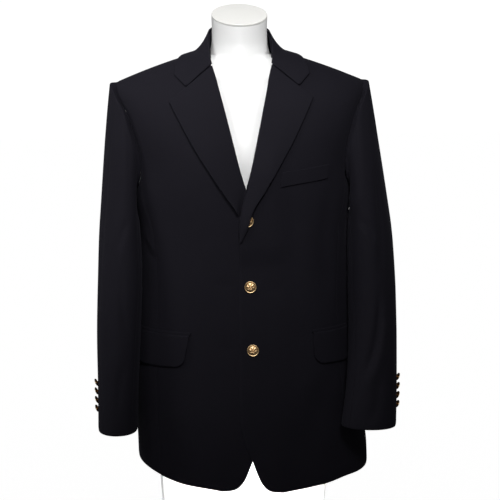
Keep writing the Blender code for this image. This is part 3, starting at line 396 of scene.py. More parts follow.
# ---------------------------------------------------------------- weave, lamps and camera
TWILL_PITCH, YARN_PITCH = 0.00085, 0.00055
PHOTO_SIZE, PHOTO_FOCAL, SENSOR_WIDTH = 500, 1459.0, 36.0
CAMERA_DISTANCE, CAMERA_HEIGHT = 2.7, 0.98
CAMERA_AZIMUTH, CAMERA_AIM = math.radians(-3.8), math.radians(0.336)
CAMERA_PITCH, CAMERA_ROLL = math.radians(9.3), math.radians(0.5)
FLOOR_HALF = 9.0
AMBIENT_STRENGTH, BACKDROP_STRENGTH = 0.04, 1.05
# Each lamp lights the jacket, the form or the buttons alone, so the white form keeps its shading.
Lamp = namedtuple("Lamp", "name place aim size spread power lights")
LAMPS = rows(
    Lamp,
    ("key_lamp", (-1.10, -1.50, 2.20), (-0.10, 0.0, 1.00), 0.9, 44, 0.62, "jacket"),
    ("front_lamp", (0.10, -2.20, 2.30), (-0.02, 0.0, 0.95), 0.8, 36, 1.80, "jacket"),
    ("left_lamp", (-2.00, -0.20, 2.00), (-0.25, 0.0, 0.78), 0.8, 80, 2.50, "jacket"),
    ("low_lamp", (-0.60, -2.40, 1.00), (-0.10, 0.0, 0.80), 0.9, 50, 0.30, "jacket"),
    ("form_left_lamp", (-1.70, -1.00, 2.00), (0.00, 0.0, 0.90), 1.0, 80, 4.4, "form"),
    ("form_right_lamp", (1.70, -1.00, 2.00), (0.00, 0.0, 0.90), 1.0, 80, 3.8, "form"),
    ("form_top_lamp", (0.00, -0.40, 2.60), (0.00, 0.0, 0.95), 1.0, 80, 3.4, "form"),
    ("form_front_lamp", (-0.10, -2.40, 1.30), (0.00, 0.0, 0.90), 1.0, 60, 4.2, "form"),
    ("base_lamp", (0.00, -2.20, 0.25), (0.00, 0.0, 0.05), 0.6, 14, 3.0, "form"),
    ("button_lamp", (0.10, -2.20, 1.30), (0.00, 0.0, 0.45), 2.0, 100, 13.0, "buttons"),
)

# ---------------------------------------------------------------- creases
# Soft troughs (depth below 0) and ridges on the jacket's surface, from one end to the other, each
# end given by its turn around the wearer and its height.
Crease = namedtuple("Crease", "turn_from height_from turn_to height_to width depth")
CREASES = rows(
    Crease,
    # wearer's left front: a hollow below the breast welt, and a long pull from the flap to the hem
    (0.88, 0.690, 0.80, 0.440, 0.0200, -0.0022),
    (0.62, 0.640, 0.56, 0.430, 0.0300, 0.0014),
    (0.86, 0.340, 0.34, 0.150, 0.0220, -0.0022),
    (0.55, 0.340, 0.22, 0.200, 0.0260, 0.0014),
    (1.22, 0.610, 0.98, 0.575, 0.0090, -0.0018),
    (1.18, 0.540, 1.02, 0.420, 0.0160, -0.0020),
    # wearer's right front: a drag line from the waist, the drape beside the armhole
    (-1.28, 0.566, -0.93, 0.530, 0.0085, -0.0026),
    (-1.28, 0.586, -0.98, 0.556, 0.0100, 0.0018),
    (-1.16, 0.620, -1.14, 0.450, 0.0180, -0.0026),
    (-1.02, 0.760, -0.86, 0.660, 0.0200, -0.0018),
    (-0.60, 0.540, -0.52, 0.330, 0.0300, 0.0012),
    (-0.90, 0.330, -0.84, 0.135, 0.0260, -0.0018),
    (-0.46, 0.300, -0.52, 0.130, 0.0280, 0.0012),
    # at the buttons, where the fronts are pulled together
    (-0.30, 0.500, -0.10, 0.491, 0.0100, -0.0010),
    (0.24, 0.478, 0.08, 0.490, 0.0100, -0.0010),
    (-0.26, 0.385, -0.10, 0.376, 0.0090, -0.0008),
    # sides, below the arms
    (1.96, 0.640, 1.86, 0.500, 0.0120, -0.0026),
    (-1.94, 0.640, -1.90, 0.480, 0.0130, -0.0028),
    (1.72, 0.300, 1.66, 0.140, 0.0240, 0.0018),
    (-1.76, 0.320, -1.62, 0.150, 0.0260, 0.0020),
    # back: shoulder blades, waist and skirt, uneven from side to side
    (2.42, 0.720, 2.20, 0.640, 0.0160, -0.0022),
    (-2.36, 0.730, -2.12, 0.630, 0.0180, -0.0026),
    (2.55, 0.600, 2.62, 0.440, 0.0220, -0.0022),
    (-2.62, 0.570, -2.70, 0.430, 0.0200, -0.0018),
    (2.20, 0.560, 2.60, 0.520, 0.0100, -0.0016),
    (-2.16, 0.520, -2.58, 0.490, 0.0110, -0.0018),
    (2.86, 0.835, -2.90, 0.829, 0.0110, -0.0014),
    (2.45, 0.330, 2.52, 0.150, 0.0260, 0.0020),
    (-2.40, 0.300, -2.50, 0.145, 0.0240, 0.0022),
)
TURN_LENGTH = 0.165     # metres of cloth along one radian of turn
CREASE_BOW = 0.06       # a crease bows aside by this share of its length,
CREASE_PAST, CREASE_FADE = 0.12, 0.42   # runs on past both ends and fades out over these shares
CREASE_RISE, CREASE_RISE_FADE = 0.80, 0.15      # and ends below the shoulder line

# Creases of the sleeves, each end given by its place around the sleeve (0 outside, a quarter turn
# at the front, half a turn inside) and its height.
LEFT_SLEEVE_CREASES = rows(
    Crease,
    (2.15, 0.656, 2.95, 0.630, 0.0150, 0.0030),
    (1.45, 0.470, 2.05, 0.325, 0.0085, -0.0050),
    (1.20, 0.440, 1.95, 0.300, 0.0130, 0.0026),
    (2.30, 0.606, 1.60, 0.566, 0.0060, -0.0030),
    (2.20, 0.588, 1.50, 0.552, 0.0070, 0.0018),
    (1.30, 0.700, 1.42, 0.500, 0.0130, -0.0030),
    (1.50, 0.330, 1.62, 0.240, 0.0120, -0.0024),
    (0.60, 0.640, 0.50, 0.420, 0.0170, 0.0014),
    (0.40, 0.400, 0.70, 0.280, 0.0120, -0.0014),
    (-1.10, 0.500, -1.90, 0.445, 0.0090, -0.0034),
    (-1.20, 0.460, -2.10, 0.415, 0.0080, -0.0028),
    (-0.90, 0.620, -1.60, 0.560, 0.0110, -0.0022),
    (-2.20, 0.560, -2.80, 0.470, 0.0110, -0.0026),
)
RIGHT_SLEEVE_CREASES = rows(
    Crease,
    (0.86, 0.760, 0.84, 0.235, 0.0075, -0.0016),
    (1.10, 0.700, 1.20, 0.300, 0.0190, 0.0012),
    (1.60, 0.520, 2.05, 0.400, 0.0100, -0.0026),
    (2.05, 0.610, 1.50, 0.560, 0.0080, -0.0024),
    (1.95, 0.360, 1.60, 0.260, 0.0110, -0.0018),
    (-1.20, 0.510, -2.00, 0.470, 0.0090, -0.0034),
    (-1.00, 0.465, -1.80, 0.440, 0.0080, -0.0024),
    (-0.80, 0.650, -1.50, 0.590, 0.0120, -0.0022),
    (-2.10, 0.400, -2.70, 0.330, 0.0100, -0.0020),
)
SLEEVE_TURN_LENGTH = 0.055
SLEEVE_CREASE_TOP, SLEEVE_CREASE_FADE = 0.80, 0.06
CUFF_VENT_LENGTH, CUFF_VENT_STEP = 0.118, 0.0016  # the top sleeve laps over the under sleeve there
CUFF_VENT_FADE = 18     # columns over which that lap runs out
CUFF_VENT_RUN = 0.02    # height over which it begins
SEAM_PRESS, SEAM_PRESS_WIDTH = 0.0006, 0.0030  # the cloth is pressed thin along its seams
SEAM_MEET = 0.0005      # how far the middle of an edge reaches into its seam
EDGE_ROLL = 0.18        # share of the wall by which its faces end short of that
ARMHOLE_LIP, ARMHOLE_LIP_ROWS = 0.0030, 2  # the body's lining runs on under the sleeve's edge


# ---------------------------------------------------------------- curves through tables
def hermite(start, end, leaving, arriving, u):
    """From start to end, with its slope at both ends given as the change over the whole way."""
    return (
        start * (1 + 2 * u) * (1 - u) ** 2
        + leaving * u * (1 - u) ** 2
        + end * u * u * (3 - 2 * u)
        + arriving * u * u * (u - 1)
    )


def follow(table, column, at):
    """A smooth curve through one column of a table, over its first column."""
    keys = np.array([row[0] for row in table])
    values = np.array([getattr(row, column) for row in table])
    slopes = np.gradient(values, keys)
    at = np.clip(at, keys[0], keys[-1])
    span = np.clip(np.searchsorted(keys, at, side="right") - 1, 0, len(keys) - 2)
    width = keys[span + 1] - keys[span]
    leaving, arriving = slopes[span] * width, slopes[span + 1] * width
    return hermite(values[span], values[span + 1], leaving, arriving, (at - keys[span]) / width)


def row_at(table, at):
    """The table's row at a value of its first column, each other column on its own curve."""
    kind = type(table[0])
    return kind(at, *(follow(table, column, at) for column in kind._fields[1:]))


def ease(share):
    share = np.clip(share, 0.0, 1.0)
    return share * share * (3 - 2 * share)


def blend(start, end, share):
    return start + (end - start) * share


def unit(vectors):
    return vectors / np.maximum(np.linalg.norm(vectors, axis=-1, keepdims=True), 1e-12)


# ---------------------------------------------------------------- creases on the cloth
def crease_relief(creases, across, height, metres):
    """How far the creases move the cloth out at places given by a turn and a height."""
    relief = np.zeros(np.broadcast(across, height).shape)
    for crease in creases:
        run = np.array([crease.turn_to - crease.turn_from, crease.height_to - crease.height_from])
        run[0] = (run[0] + math.pi) % (2 * math.pi) - math.pi
        run[0] *= metres
        aside = ((across - crease.turn_from + math.pi) % (2 * math.pi) - math.pi) * metres
        up = height - crease.height_from
        length = math.hypot(*run)
        share = (aside * run[0] + up * run[1]) / length**2
        off = (aside * run[1] - up * run[0]) / length
        bow = CREASE_BOW * length * (1 - (2 * np.clip(share, 0.0, 1.0) - 1) ** 2)
        end = ease((share + CREASE_PAST) / CREASE_FADE)
        end = end * ease((1 + CREASE_PAST - share) / CREASE_FADE)
        relief += crease.depth * end * np.exp(-(((off - bow) / crease.width) ** 2))
    return relief


# ---------------------------------------------------------------- the jacket's surface
def level(column, height):
    return follow(LEVELS, column, height)


def rise(height):
    """0 where the rings are level, 1 on the shoulder line."""
    return np.clip((height - RISE_FROM) / (NAPE - RISE_FROM), 0.0, 1.0)


def shoulder_drop(across, at_back):
    """How far the shoulder line lies below its crossing of the centre."""
    across = np.abs(across)
    lift = NAPE_LIFT * np.clip(1 - (across / NECK_REACH) ** 2, 0.0, 1.0) ** 2
    return SHOULDER_SLOPE * across + SHOULDER_CURVE * across**2 - np.where(at_back, lift, 0.0)


def height_at(across, z, at_back=False):
    """The ring's height at the centre for a point at height z, this far across."""
    drop = shoulder_drop(across, at_back)
    span = NAPE - RISE_FROM
    over = np.clip(z - RISE_FROM, 0.0, None)
    root = np.sqrt(np.clip(span**2 - 4 * drop * over, 0.0, None))
    return np.where(z > RISE_FROM, RISE_FROM + span * 2 * over / (span + root), z)


def ring_power(at_back, height):
    return np.where(at_back, level("back_power", height), level("front_power", height))


def half_width(side, height):
    return np.where(side > 0, level("left", height), level("right", height))


def turn_at(share, height, at_back=False):
    """The turn from the ring's front or back centre, at a share of the half width."""
    power = ring_power(at_back, height)
    turn = np.arcsin(np.clip(np.abs(share), 0.0, 1.0) ** (power / 2))
    turn = np.where(at_back, math.pi - turn, turn)
    return np.where(share < 0, -turn, turn)


def body_point(turn, height, swaying=True):
    sine, cosine = np.sin(turn), np.cos(turn)
    at_back = cosine < 0
    power = ring_power(at_back, height)
    depth = np.where(at_back, level("back", height), level("front", height))
    depth = depth * (1 - rise(height) ** SHOULDER_ROUND) ** (1 / SHOULDER_ROUND)
    if swaying:
        width = half_width(np.sign(sine), height)
        shift = level("shift", height)
    else:
        width = np.minimum(level("left", height), level("right", height))
        shift = 0.0
    across = width * np.sign(sine) * np.abs(sine) ** (2 / power)
    seam = SEAM_GAP * rise(height) ** RIDGE_POWER
    y = RIDGE_Y - np.sign(cosine) * (depth * np.abs(cosine) ** (2 / power) + seam)
    z = height - shoulder_drop(across, at_back) * rise(height) ** 2
    return np.stack([across + shift, y, z], axis=-1)


def body(turn, height, out=0.0, swaying=True):
    """The jacket's outer face, or a face this far out from it."""
    turn, height = np.broadcast_arrays(np.asarray(turn, float), np.asarray(height, float))
    step = 1e-4
    high = np.minimum(height + step, NAPE - step)
    low = high - 2 * step
    around = body_point(turn + step, height, swaying) - body_point(turn - step, height, swaying)
    up = body_point(turn, high, swaying) - body_point(turn, low, swaying)
    normal = unit(np.cross(around, up))
    fade = 1 - ease((rise(height) - CREASE_RISE) / CREASE_RISE_FADE)
    out = out + fade * crease_relief(CREASES, turn, height, TURN_LENGTH)
    return body_point(turn, height, swaying) + normal * np.asarray(out)[..., None]


def on_front(side, across, height, out=0.0):
    """A point of the front, this far from the centre line towards the panel's own side."""
    share = across / half_width(side * np.sign(across), height)
    return body(side * turn_at(share, height), height, out)


def front_lap(side, across, height):
    """How far a front panel stands off the jacket's surface near the centre line."""
    if side < 0:
        return np.zeros(np.broadcast(across, height).shape)
    lap = blend(LAP, LAP_AT_ROLL, ease((height - LAP_ROLL_FROM) / LAP_ROLL_RUN))
    lap = lap * (1 - ease((height - LAP_TOP) / LAP_TOP_FADE))
    return lap * (1 - ease((across - LAP_WIDTH) / LAP_FADE))


def hem_height(side, turn):
    return follow(HEM, "left" if side > 0 else "right", np.abs(turn))


def gathered(count):
    """Shares across a panel, closer together at both of its seams."""
    share = np.linspace(0.0, 1.0, count + 1)
    return blend(share, (1 - np.cos(share * math.pi)) / 2, GATHER)


def seam_stations(rows):
    return np.linspace(0.0, 1.0, rows + 1)


def panel_heights(hem):
    """Heights of a panel's rows on its outer edge, from the hem to the shoulder seam."""
    low = blend(hem, SEAM_TOP, seam_stations(LOW_ROWS))
    top = 1 - (1 - seam_stations(HIGH_ROWS)) ** SHOULDER_ROWS_POWER
    return np.concatenate([low, blend(SEAM_TOP, NAPE, top)[1:]])


def panel_stations():
    low = SEAM_SHARE * seam_stations(LOW_ROWS)
    high = blend(SEAM_SHARE, 1.0, seam_stations(HIGH_ROWS))
    return np.concatenate([low, high[1:]])


def edge_turn(side, column, height):
    """The turn of a side seam or an armhole edge at a height."""
    return side * turn_at(follow(SIDES, column, height), height, column == "back")


def outer_edge(side, column):
    """Heights of a panel's rows on its outer edge and how far across that edge lies."""
    height = panel_heights(hem_height(side, edge_turn(1, column, HEM_READ)))[:, None]
    return height, follow(SIDES, column, height) * half_width(side, height) - SEAM_GAP / 2


def armpit_height(share):
    """Height of the armhole's lowest part, at a share of the way from front to back."""
    return ARMPIT + (SEAM_TOP - ARMPIT) * np.abs(2 * share - 1) ** ARMPIT_POWER


# ---------------------------------------------------------------- meshes
def linked(name, data):
    """A new object of the scene that shows this data."""
    made = bpy.data.objects.new(name, data)
    bpy.context.scene.collection.objects.link(made)
    return made


def new_piece(name, mesh, node, slot, *materials):
    """Links a finished mesh as a piece that stands for one CAD node."""
    for material in materials:
        mesh.materials.append(material)
    piece = linked(name, mesh)
    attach(piece, "root")
    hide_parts(node)
    return piece


def cloth_uv(grid):
    """Metres along the rows and columns of a grid of points: the cut's own coordinates."""
    across = np.linalg.norm(np.diff(grid, axis=1), axis=-1)
    up = np.linalg.norm(np.diff(grid, axis=0), axis=-1)
    u = np.concatenate([np.zeros((grid.shape[0], 1)), np.cumsum(across, axis=1)], axis=1)
    v = np.concatenate([np.zeros((1, grid.shape[1])), np.cumsum(up, axis=0)], axis=0)
    u = u - u[:, [grid.shape[1] // 2]]
    return np.stack([u, v], axis=-1)


def pressed(outer, inner):
    """The outer face drawn towards the inner one along its seams, which are ironed thin."""
    u, v = np.moveaxis(cloth_uv(outer), -1, 0)
    from_edge = np.minimum(np.minimum(u - u[:, :1], u[:, -1:] - u), np.minimum(v, v[-1:] - v))
    near = np.exp(-((from_edge / SEAM_PRESS_WIDTH) ** 2))
    return outer + unit(inner - outer) * (SEAM_PRESS * near)[..., None]


def trimmed(grid, gap):
    """The grid with its first and last column drawn in by a gap, or let out by one below 0."""
    grid = grid.copy()
    for last, inner in ((0, 1), (-1, -2)):
        grid[:, last] += gap * unit(grid[:, inner] - grid[:, last])
    return grid


def rounded_edge(grid, amount):
    """The grid with its outermost points drawn in on all four sides."""
    return trimmed(trimmed(grid, amount).swapaxes(0, 1), amount).swapaxes(0, 1)


def lipped(side, grid):
    """A panel's inner face, let out past the armhole's edge so no light comes through there."""
    grid = grid.copy()
    edge = np.argmax(np.abs(grid[-1, (0, -1), 0]))
    above = np.arange(len(grid)) - LOW_ROWS
    grid[:, -edge, 0] += side * ARMHOLE_LIP * ease(above / ARMHOLE_LIP_ROWS)
    return grid


def cloth(node, outer, inner, held="draped", rests_on=("dress_form",), seams=True, with_pieces=()):
    """A wall of cloth between two grids of points, with rolled edges and a lining inside."""
    rows, columns = outer.shape[:2]
    count = rows * columns
    uv = cloth_uv(outer).reshape(-1, 2)
    wall = np.linalg.norm(outer - inner, axis=-1).mean()
    middle = rounded_edge((outer + inner) / 2, -SEAM_MEET)
    outer = rounded_edge(pressed(outer, inner) if seams else outer, EDGE_ROLL * wall)
    inner = rounded_edge(inner, EDGE_ROLL * wall)
    at = np.arange(count).reshape(rows, columns)
    quads = np.stack([at[:-1, :-1], at[:-1, 1:], at[1:, 1:], at[1:, :-1]], axis=-1).reshape(-1, 4)
    rim = np.concatenate([at[0], at[1:, -1], at[-1, -2::-1], at[-2:0:-1, 0]])
    after = np.roll(rim, -1)
    edge = 2 * count + np.arange(len(rim))
    edge_after = np.roll(edge, -1)
    first = np.stack([after, rim, edge, edge_after], axis=-1)
    second = np.stack([edge_after, edge, count + rim, count + after], axis=-1)
    faces = np.concatenate([quads, first, second, count + quads[:, ::-1]])
    points = np.concatenate([outer.reshape(-1, 3), inner.reshape(-1, 3), middle.reshape(-1, 3)[rim]])
    places = np.concatenate([uv, uv, uv[rim]])
    mesh = bpy.data.meshes.new(f"{node}_cloth")
    mesh.from_pydata(points.tolist(), [], faces.tolist())
    mesh.shade_smooth()
    cut = mesh.uv_layers.new(name="cut")
    cut.uv.foreach_set("vector", places[faces.reshape(-1)].reshape(-1))
    lined = np.arange(len(faces)) >= len(faces) - len(quads)
    mesh.polygons.foreach_set("material_index", lined.astype(np.int32))
    piece = new_piece(mesh.name, mesh, node, "navy_cloth", navy_worsted(), navy_lining())
    node in CUTS
    return piece


def grid_normals(grid, closed=False):
    """Outward normals of a grid of points whose columns run anticlockwise seen from above."""
    if closed:
        across = np.roll(grid, -1, axis=1) - np.roll(grid, 1, axis=1)
    else:
        across = np.gradient(grid, axis=1)
    return unit(np.cross(across, np.gradient(grid, axis=0)))


def facing_out(grid, side):
    """Columns run from the centre outwards, so the wearer's right half is turned round."""
    return grid if side > 0 else grid[:, ::-1]


# ---------------------------------------------------------------- fronts, sides and backs
def front_panel(side, depth):
    stations = panel_stations()[:, None]
    outer_height, outer_x = outer_edge(side, "front")
    _, edge_x, edge_z = row_at(FRONT_EDGE, stations)
    corner = hem_height(side, 0.0) - FRONT_EDGE[0].z
    edge_z = edge_z + corner * np.clip(1 - stations / CORNER_STATION, 0.0, 1.0)
    edge_height = height_at(edge_x, edge_z)
    u = gathered(FRONT_COLUMNS)[None, :]
    across = blend(edge_x, outer_x, u)
    height = blend(edge_height, outer_height, u)
    hem_x = blend(edge_x[0], outer_x[0], u)
    hem = hem_height(side, turn_at(hem_x / half_width(side, height[:1]), height[:1]))
    level_hem = blend(edge_height[0], outer_height[0], u)
    height = height + (hem - level_hem) * u * (1 - stations) ** HEM_POWER
    height = np.minimum(height, NAPE)
    out = front_lap(side, across, height) - depth
    return facing_out(on_front(side, across, height, out), side)


def side_panel(side, depth):
    stations = seam_stations(LOW_ROWS)[:, None]
    u = gathered(SIDE_COLUMNS)[None, :]
    height = blend(HEM_GUESS, SEAM_TOP, stations)
    for _ in range(3):
        front = edge_turn(1, "front", height[:, :1]) + SEAM_TURN
        back = edge_turn(1, "back", height[:, -1:]) - SEAM_TURN
        turn = blend(front, back, u)
        height = blend(hem_height(side, turn), armpit_height(u), stations)
    return facing_out(body(side * turn, height, -depth), side)


def vent_reach(side, height):
    """How far the left back runs past the centre below the vent's top."""
    return np.where(side > 0, -VENT_WIDTH, 0.0) * ease((VENT_TOP - height) / VENT_CORNER)


def vent_lap(side, across, height):
    """How far the left back stands off the right one around the vent."""
    near = 1 - ease((across - VENT_NEAR) / VENT_NEAR_FADE)
    low = ease((VENT_TOP + VENT_ABOVE - height) / VENT_ABOVE_FADE)
    return np.where(side > 0, VENT_LAP, 0.0) * low * near


def back_neck(share):
    """Across and ring height of the back neckline, from centre back to the shoulder seam."""
    angle = share * math.pi / 2
    start = (1 - BACK_NECK**SHOULDER_ROUND) * np.cos(angle) ** SHOULDER_ROUND
    return NECK_REACH * np.sin(angle), blend(RISE_FROM, NAPE, (1 - start) ** (1 / SHOULDER_ROUND))


def back_panel(side, depth):
    stations = panel_stations()[:, None]
    outer_height, outer_x = outer_edge(side, "back")
    neck_x, neck_height = back_neck(np.clip((stations - BACK_NECK_FROM) / (1 - BACK_NECK_FROM), 0, 1))
    seam_share = np.clip(stations / BACK_NECK_FROM, 0.0, 1.0)
    centre = blend(hem_height(side, math.pi), back_neck(0.0)[1], seam_share)
    centre_height = np.where(stations > BACK_NECK_FROM, neck_height, centre)
    centre_x = neck_x + SEAM_GAP / 2 + vent_reach(side, centre_height)
    u = gathered(BACK_COLUMNS)[None, :]
    across = blend(centre_x, outer_x, u)
    height = blend(centre_height, outer_height, u)
    turn = turn_at(across / half_width(side * np.sign(across), height), height, True)
    out = vent_lap(side, across, height) - depth
    return facing_out(body(side * turn, height, out), -side)


# ---------------------------------------------------------------- sleeves
def rings_of(side):
    return SLEEVE_LEFT if side > 0 else SLEEVE_RIGHT


def armhole_loop(side):
    """Turns and heights of the armhole's edge, from the shoulder point to the front and round."""
    heights = panel_heights(HEM_GUESS)[LOW_ROWS:]
    front = [(edge_turn(1, "front", h), h) for h in heights[::-1]]
    back = [(edge_turn(1, "back", h), h) for h in heights]
    start, end = front[-1][0], back[0][0]
    under = []
    for share in np.linspace(0.0, 1.0, SIDE_COLUMNS + 1)[1:-1]:
        under.append((blend(start, end, share), armpit_height(share)))
    loop = np.array([(float(turn), float(h)) for turn, h in front + under + back])
    return side * loop[:, 0], loop[:, 1]


def sleeve_ring(side, row, around):
    """Points of one level section: around is 0 outside, a quarter turn at the front."""
    cosine, sine = np.cos(around), np.sin(around)
    out = row.half_across * np.sign(cosine) * np.abs(cosine) ** (2 / SLEEVE_POWER)
    fore = row.half_deep * np.sign(sine) * np.abs(sine) ** (2 / SLEEVE_POWER)
    across = row.across + out * math.cos(row.turn) - fore * math.sin(row.turn)
    forward = row.forward + fore * math.cos(row.turn) + out * math.sin(row.turn)
    return np.stack([side * across, -forward, np.full(len(around), row.z)], axis=-1)


def chord_slopes(points, at):
    slopes = np.empty_like(points)
    slopes[1:-1] = (points[2:] - points[:-2]) / (at[2:] - at[:-2])[:, None]
    slopes[0] = (points[1] - points[0]) / (at[1] - at[0])
    slopes[-1] = (points[-1] - points[-2]) / (at[-1] - at[-2])
    return slopes


def thread(knots, counts):
    """Smooth curves through knots[k][column], with counts[k] steps after each knot."""
    knots = np.array(knots)
    lengths = np.linalg.norm(np.diff(knots, axis=0), axis=-1)
    places = np.concatenate([np.zeros((1, knots.shape[1])), np.cumsum(lengths, axis=0)])
    rows = []
    for column in range(knots.shape[1]):
        at = places[:, column]
        slopes = chord_slopes(knots[:, column], at)
        points = []
        for span, count in enumerate(counts):
            leaving, arriving = slopes[span : span + 2] * (at[span + 1] - at[span])
            last = span == len(counts) - 1
            u = (np.arange(count + last) / count)[:, None]
            points.append(hermite(knots[span, column], knots[span + 1, column], leaving, arriving, u))
        rows.append(np.concatenate(points))
    return np.stack(rows, axis=1)


def sleeve_grid(side):
    """The sleeve's outer face below the armhole; the shoulder point stands in its first column."""
    turns, heights = armhole_loop(side)
    turns, heights = turns[:-1], heights[:-1]
    places = np.arange(len(turns)) / len(turns) * 2 * math.pi
    edge = body(turns, heights)
    radial = unit((edge - [0.0, 0.0, ARMHOLE_MIDDLE]) * [0.0, 1.0, 1.0])
    outward = np.array([side * 1.0, 0.0, 0.0])
    seams = np.array([HIGH_ROWS, HIGH_ROWS + SIDE_COLUMNS, len(turns)]) / len(turns) * 2 * math.pi
    hind = np.interp(places, seams, (0.0, 1.0, 0.0))
    _, out, spread = row_at(SLEEVE_HEAD, places[:, None])
    start = edge + SLEEVE_GAP * unit(outward - HEAD_LEAN * radial)
    knots = [start, edge + outward * out + radial * spread]
    for row, twist in zip(rings_of(side), SLEEVE_TWIST):
        knots.append(sleeve_ring(side, row, places + twist * hind))
    return thread(knots, SLEEVE_STEPS)


def sleeve_surface(side):
    """The sleeve with its creases and the overlap of the cuff's vent."""
    grid = sleeve_grid(side)
    rings = rings_of(side)[::-1]
    z = grid[..., 2]
    ring = row_at(rings, z)
    aside = (side * grid[..., 0] - ring.across) / ring.half_across
    ahead = (-grid[..., 1] - ring.forward) / ring.half_deep
    creases = LEFT_SLEEVE_CREASES if side > 0 else RIGHT_SLEEVE_CREASES
    relief = crease_relief(creases, np.arctan2(ahead, aside), z, SLEEVE_TURN_LENGTH)
    relief = relief * ease((SLEEVE_CREASE_TOP - z) / SLEEVE_CREASE_FADE)
    column = np.arange(grid.shape[1]) - HIGH_ROWS - SIDE_COLUMNS
    lap = np.where(column > 0, 1.0 - ease((column - CUFF_VENT_FADE) / CUFF_VENT_FADE), 0.0)
    relief += CUFF_VENT_STEP * lap * ease((CUFF_VENT_LENGTH - z + rings[0].z) / CUFF_VENT_RUN)
    return grid + side * relief[..., None] * grid_normals(grid, closed=True)


# ---------------------------------------------------------------- lapels and collar
def numbered(table):
    """The table's rows with their places in it as one more column."""
    row_type = namedtuple("Numbered", ("place", *table[0]._fields))
    return [row_type(place, *row) for place, row in enumerate(table)]


def lapel_grid(side, depth):
    places = (len(LAPEL) - 1) * np.linspace(0.0, 1.0, LAPEL_ROWS + 1)[:, None]
    row = row_at(numbered(LAPEL), places)
    u = gathered(LAPEL_COLUMNS)[None, :]
    lower = 1.0 if side < 0 else -1.0
    wider = lower * u * ease(places / 2)
    across = blend(row.roll_x, row.edge_x, u) + RIGHT_LAPEL_SPREAD * wider
    z = blend(row.roll_z, row.edge_z, u) - RIGHT_LAPEL_DROP * wider
    start = row.roll_x if side > 0 else np.maximum(row.roll_x, LAPEL_CLEAR - row.roll_x)
    clear = np.clip((across - start) / np.maximum(across[:, -1:] - start, LAPEL_NARROW), 0.0, 1.0)
    lift = LAYER_GAP + LAPEL_WALL + row.rise * (1 - (1 - clear) ** 2)
    height = height_at(across, z)
    out = front_lap(side, across, height) + lift - depth
    return facing_out(on_front(side, across, height, out), side)


def on_shoulder(x, y, out):
    """The jacket's surface near the neck by its plan, moved out."""
    at_back = y > RIDGE_Y
    share = SETTLE_START * np.ones_like(x)
    for _ in range(SETTLE_ROUNDS):
        height = blend(RISE_FROM, NAPE, share)
        power = ring_power(at_back, height)
        depth = np.where(at_back, level("back", height), level("front", height))
        part = np.clip(np.abs(x) / level("left", height), 0.0, SETTLE_END)
        reach = depth * (1 - part**power) ** (1 / power)
        fall = np.clip(np.abs(y - RIDGE_Y) / reach, 0.0, SETTLE_END)
        share = blend(share, (1 - fall**SHOULDER_ROUND) ** (1 / SHOULDER_ROUND), SETTLE_STEP)
    turn = turn_at(x / level("left", height), height, at_back)
    return body(turn, height, out)


def kept_above(points, out):
    """The points, with those nearer the jacket's shoulder than this moved out of it."""
    for _ in range(3):
        surface = on_shoulder(points[..., 0], points[..., 1], 0.0)
        normal = unit(on_shoulder(points[..., 0], points[..., 1], 0.001) - surface)
        lack = out - ((points - surface) * normal).sum(axis=-1, keepdims=True)
        points = points + normal * np.maximum(lack, 0.0)
    return points


def neckline(place):
    """The neck seam: -1 at the left gorge, 0 on the shoulder, 1 at centre back, then the right."""
    side = np.where(place > 1, -1.0, 1.0)
    place = np.where(place > 1, 2 - place, place)
    _, edge_x, edge_z = row_at(FRONT_EDGE, 1 + GORGE_SPAN * np.minimum(place, 0.0))
    front_height = height_at(edge_x, edge_z)
    across, back_height = back_neck(1 - np.maximum(place, 0.0))
    at_back = place > 0
    height = np.where(at_back, back_height, front_height)
    across = np.where(at_back, across, edge_x)
    return body(side * turn_at(across / level("left", height), height, at_back), height)


def collar_rows():
    """Stations round the neck from the left gorge to the right one."""
    mirrored = [
        row._replace(roll_x=-row.roll_x, edge_x=-row.edge_x, neck=2 - row.neck)
        for row in COLLAR[-2::-1]
    ]
    table = numbered(COLLAR + tuple(mirrored))
    places = np.linspace(0, len(table) - 1, COLLAR_STEPS * (len(table) - 1) + 1)
    row = row_at(table, places)
    roll = np.stack([row.roll_x, row.roll_y, row.roll_z], axis=-1)
    return roll, on_shoulder(row.edge_x, row.edge_y, COLLAR_LIFT), neckline(row.neck)


def gorge_row(roll, edge, side, u):
    """The collar's front end: along the gorge to the notch, then out to the collar's tip."""
    notch = on_front(side, np.array(NOTCH_X), height_at(NOTCH_X, NOTCH_Z), COLLAR_LIFT)
    gorge = blend(roll, notch, np.clip(u / NOTCH_SHARE, 0.0, 1.0))
    lead = blend(notch, edge, np.clip((u - NOTCH_SHARE) / (1 - NOTCH_SHARE), 0.0, 1.0))
    return np.where(u < NOTCH_SHARE, gorge, lead)


def collar_fall_grid():
    roll, edge, _ = collar_rows()
    u = gathered(COLLAR_COLUMNS)[:, None]
    reach = u**COLLAR_REACH_POWER
    fall = 1 - (1 - reach) ** COLLAR_FALL_POWER
    share = np.concatenate([reach, reach, fall], axis=1)
    grid = blend(roll[:, None], edge[:, None], share)
    for end, step, side in ((0, 1, 1), (-1, -1, -1)):
        bend = gorge_row(roll[end], edge[end], side, u) - grid[end]
        for row in range(COLLAR_STEPS):
            grid[end + step * row] += bend * (1 - row / COLLAR_STEPS) ** COLLAR_END_POWER
    return kept_above(grid, COLLAR_LIFT)


def collar_stand_grid():
    roll, _, seam = collar_rows()
    inward = unit(roll * [-1.0, -1.0, 0.0])
    top = roll + STAND_TUCK * inward - [0.0, 0.0, STAND_DROP]
    foot = seam + STAND_FOOT_IN * inward + [0.0, 0.0, STAND_FOOT_UP]
    u = np.linspace(0.0, 1.0, STAND_COLUMNS + 1)[None, :, None]
    return blend(top[:, None], foot[:, None], u)[COLLAR_STEPS:-COLLAR_STEPS]


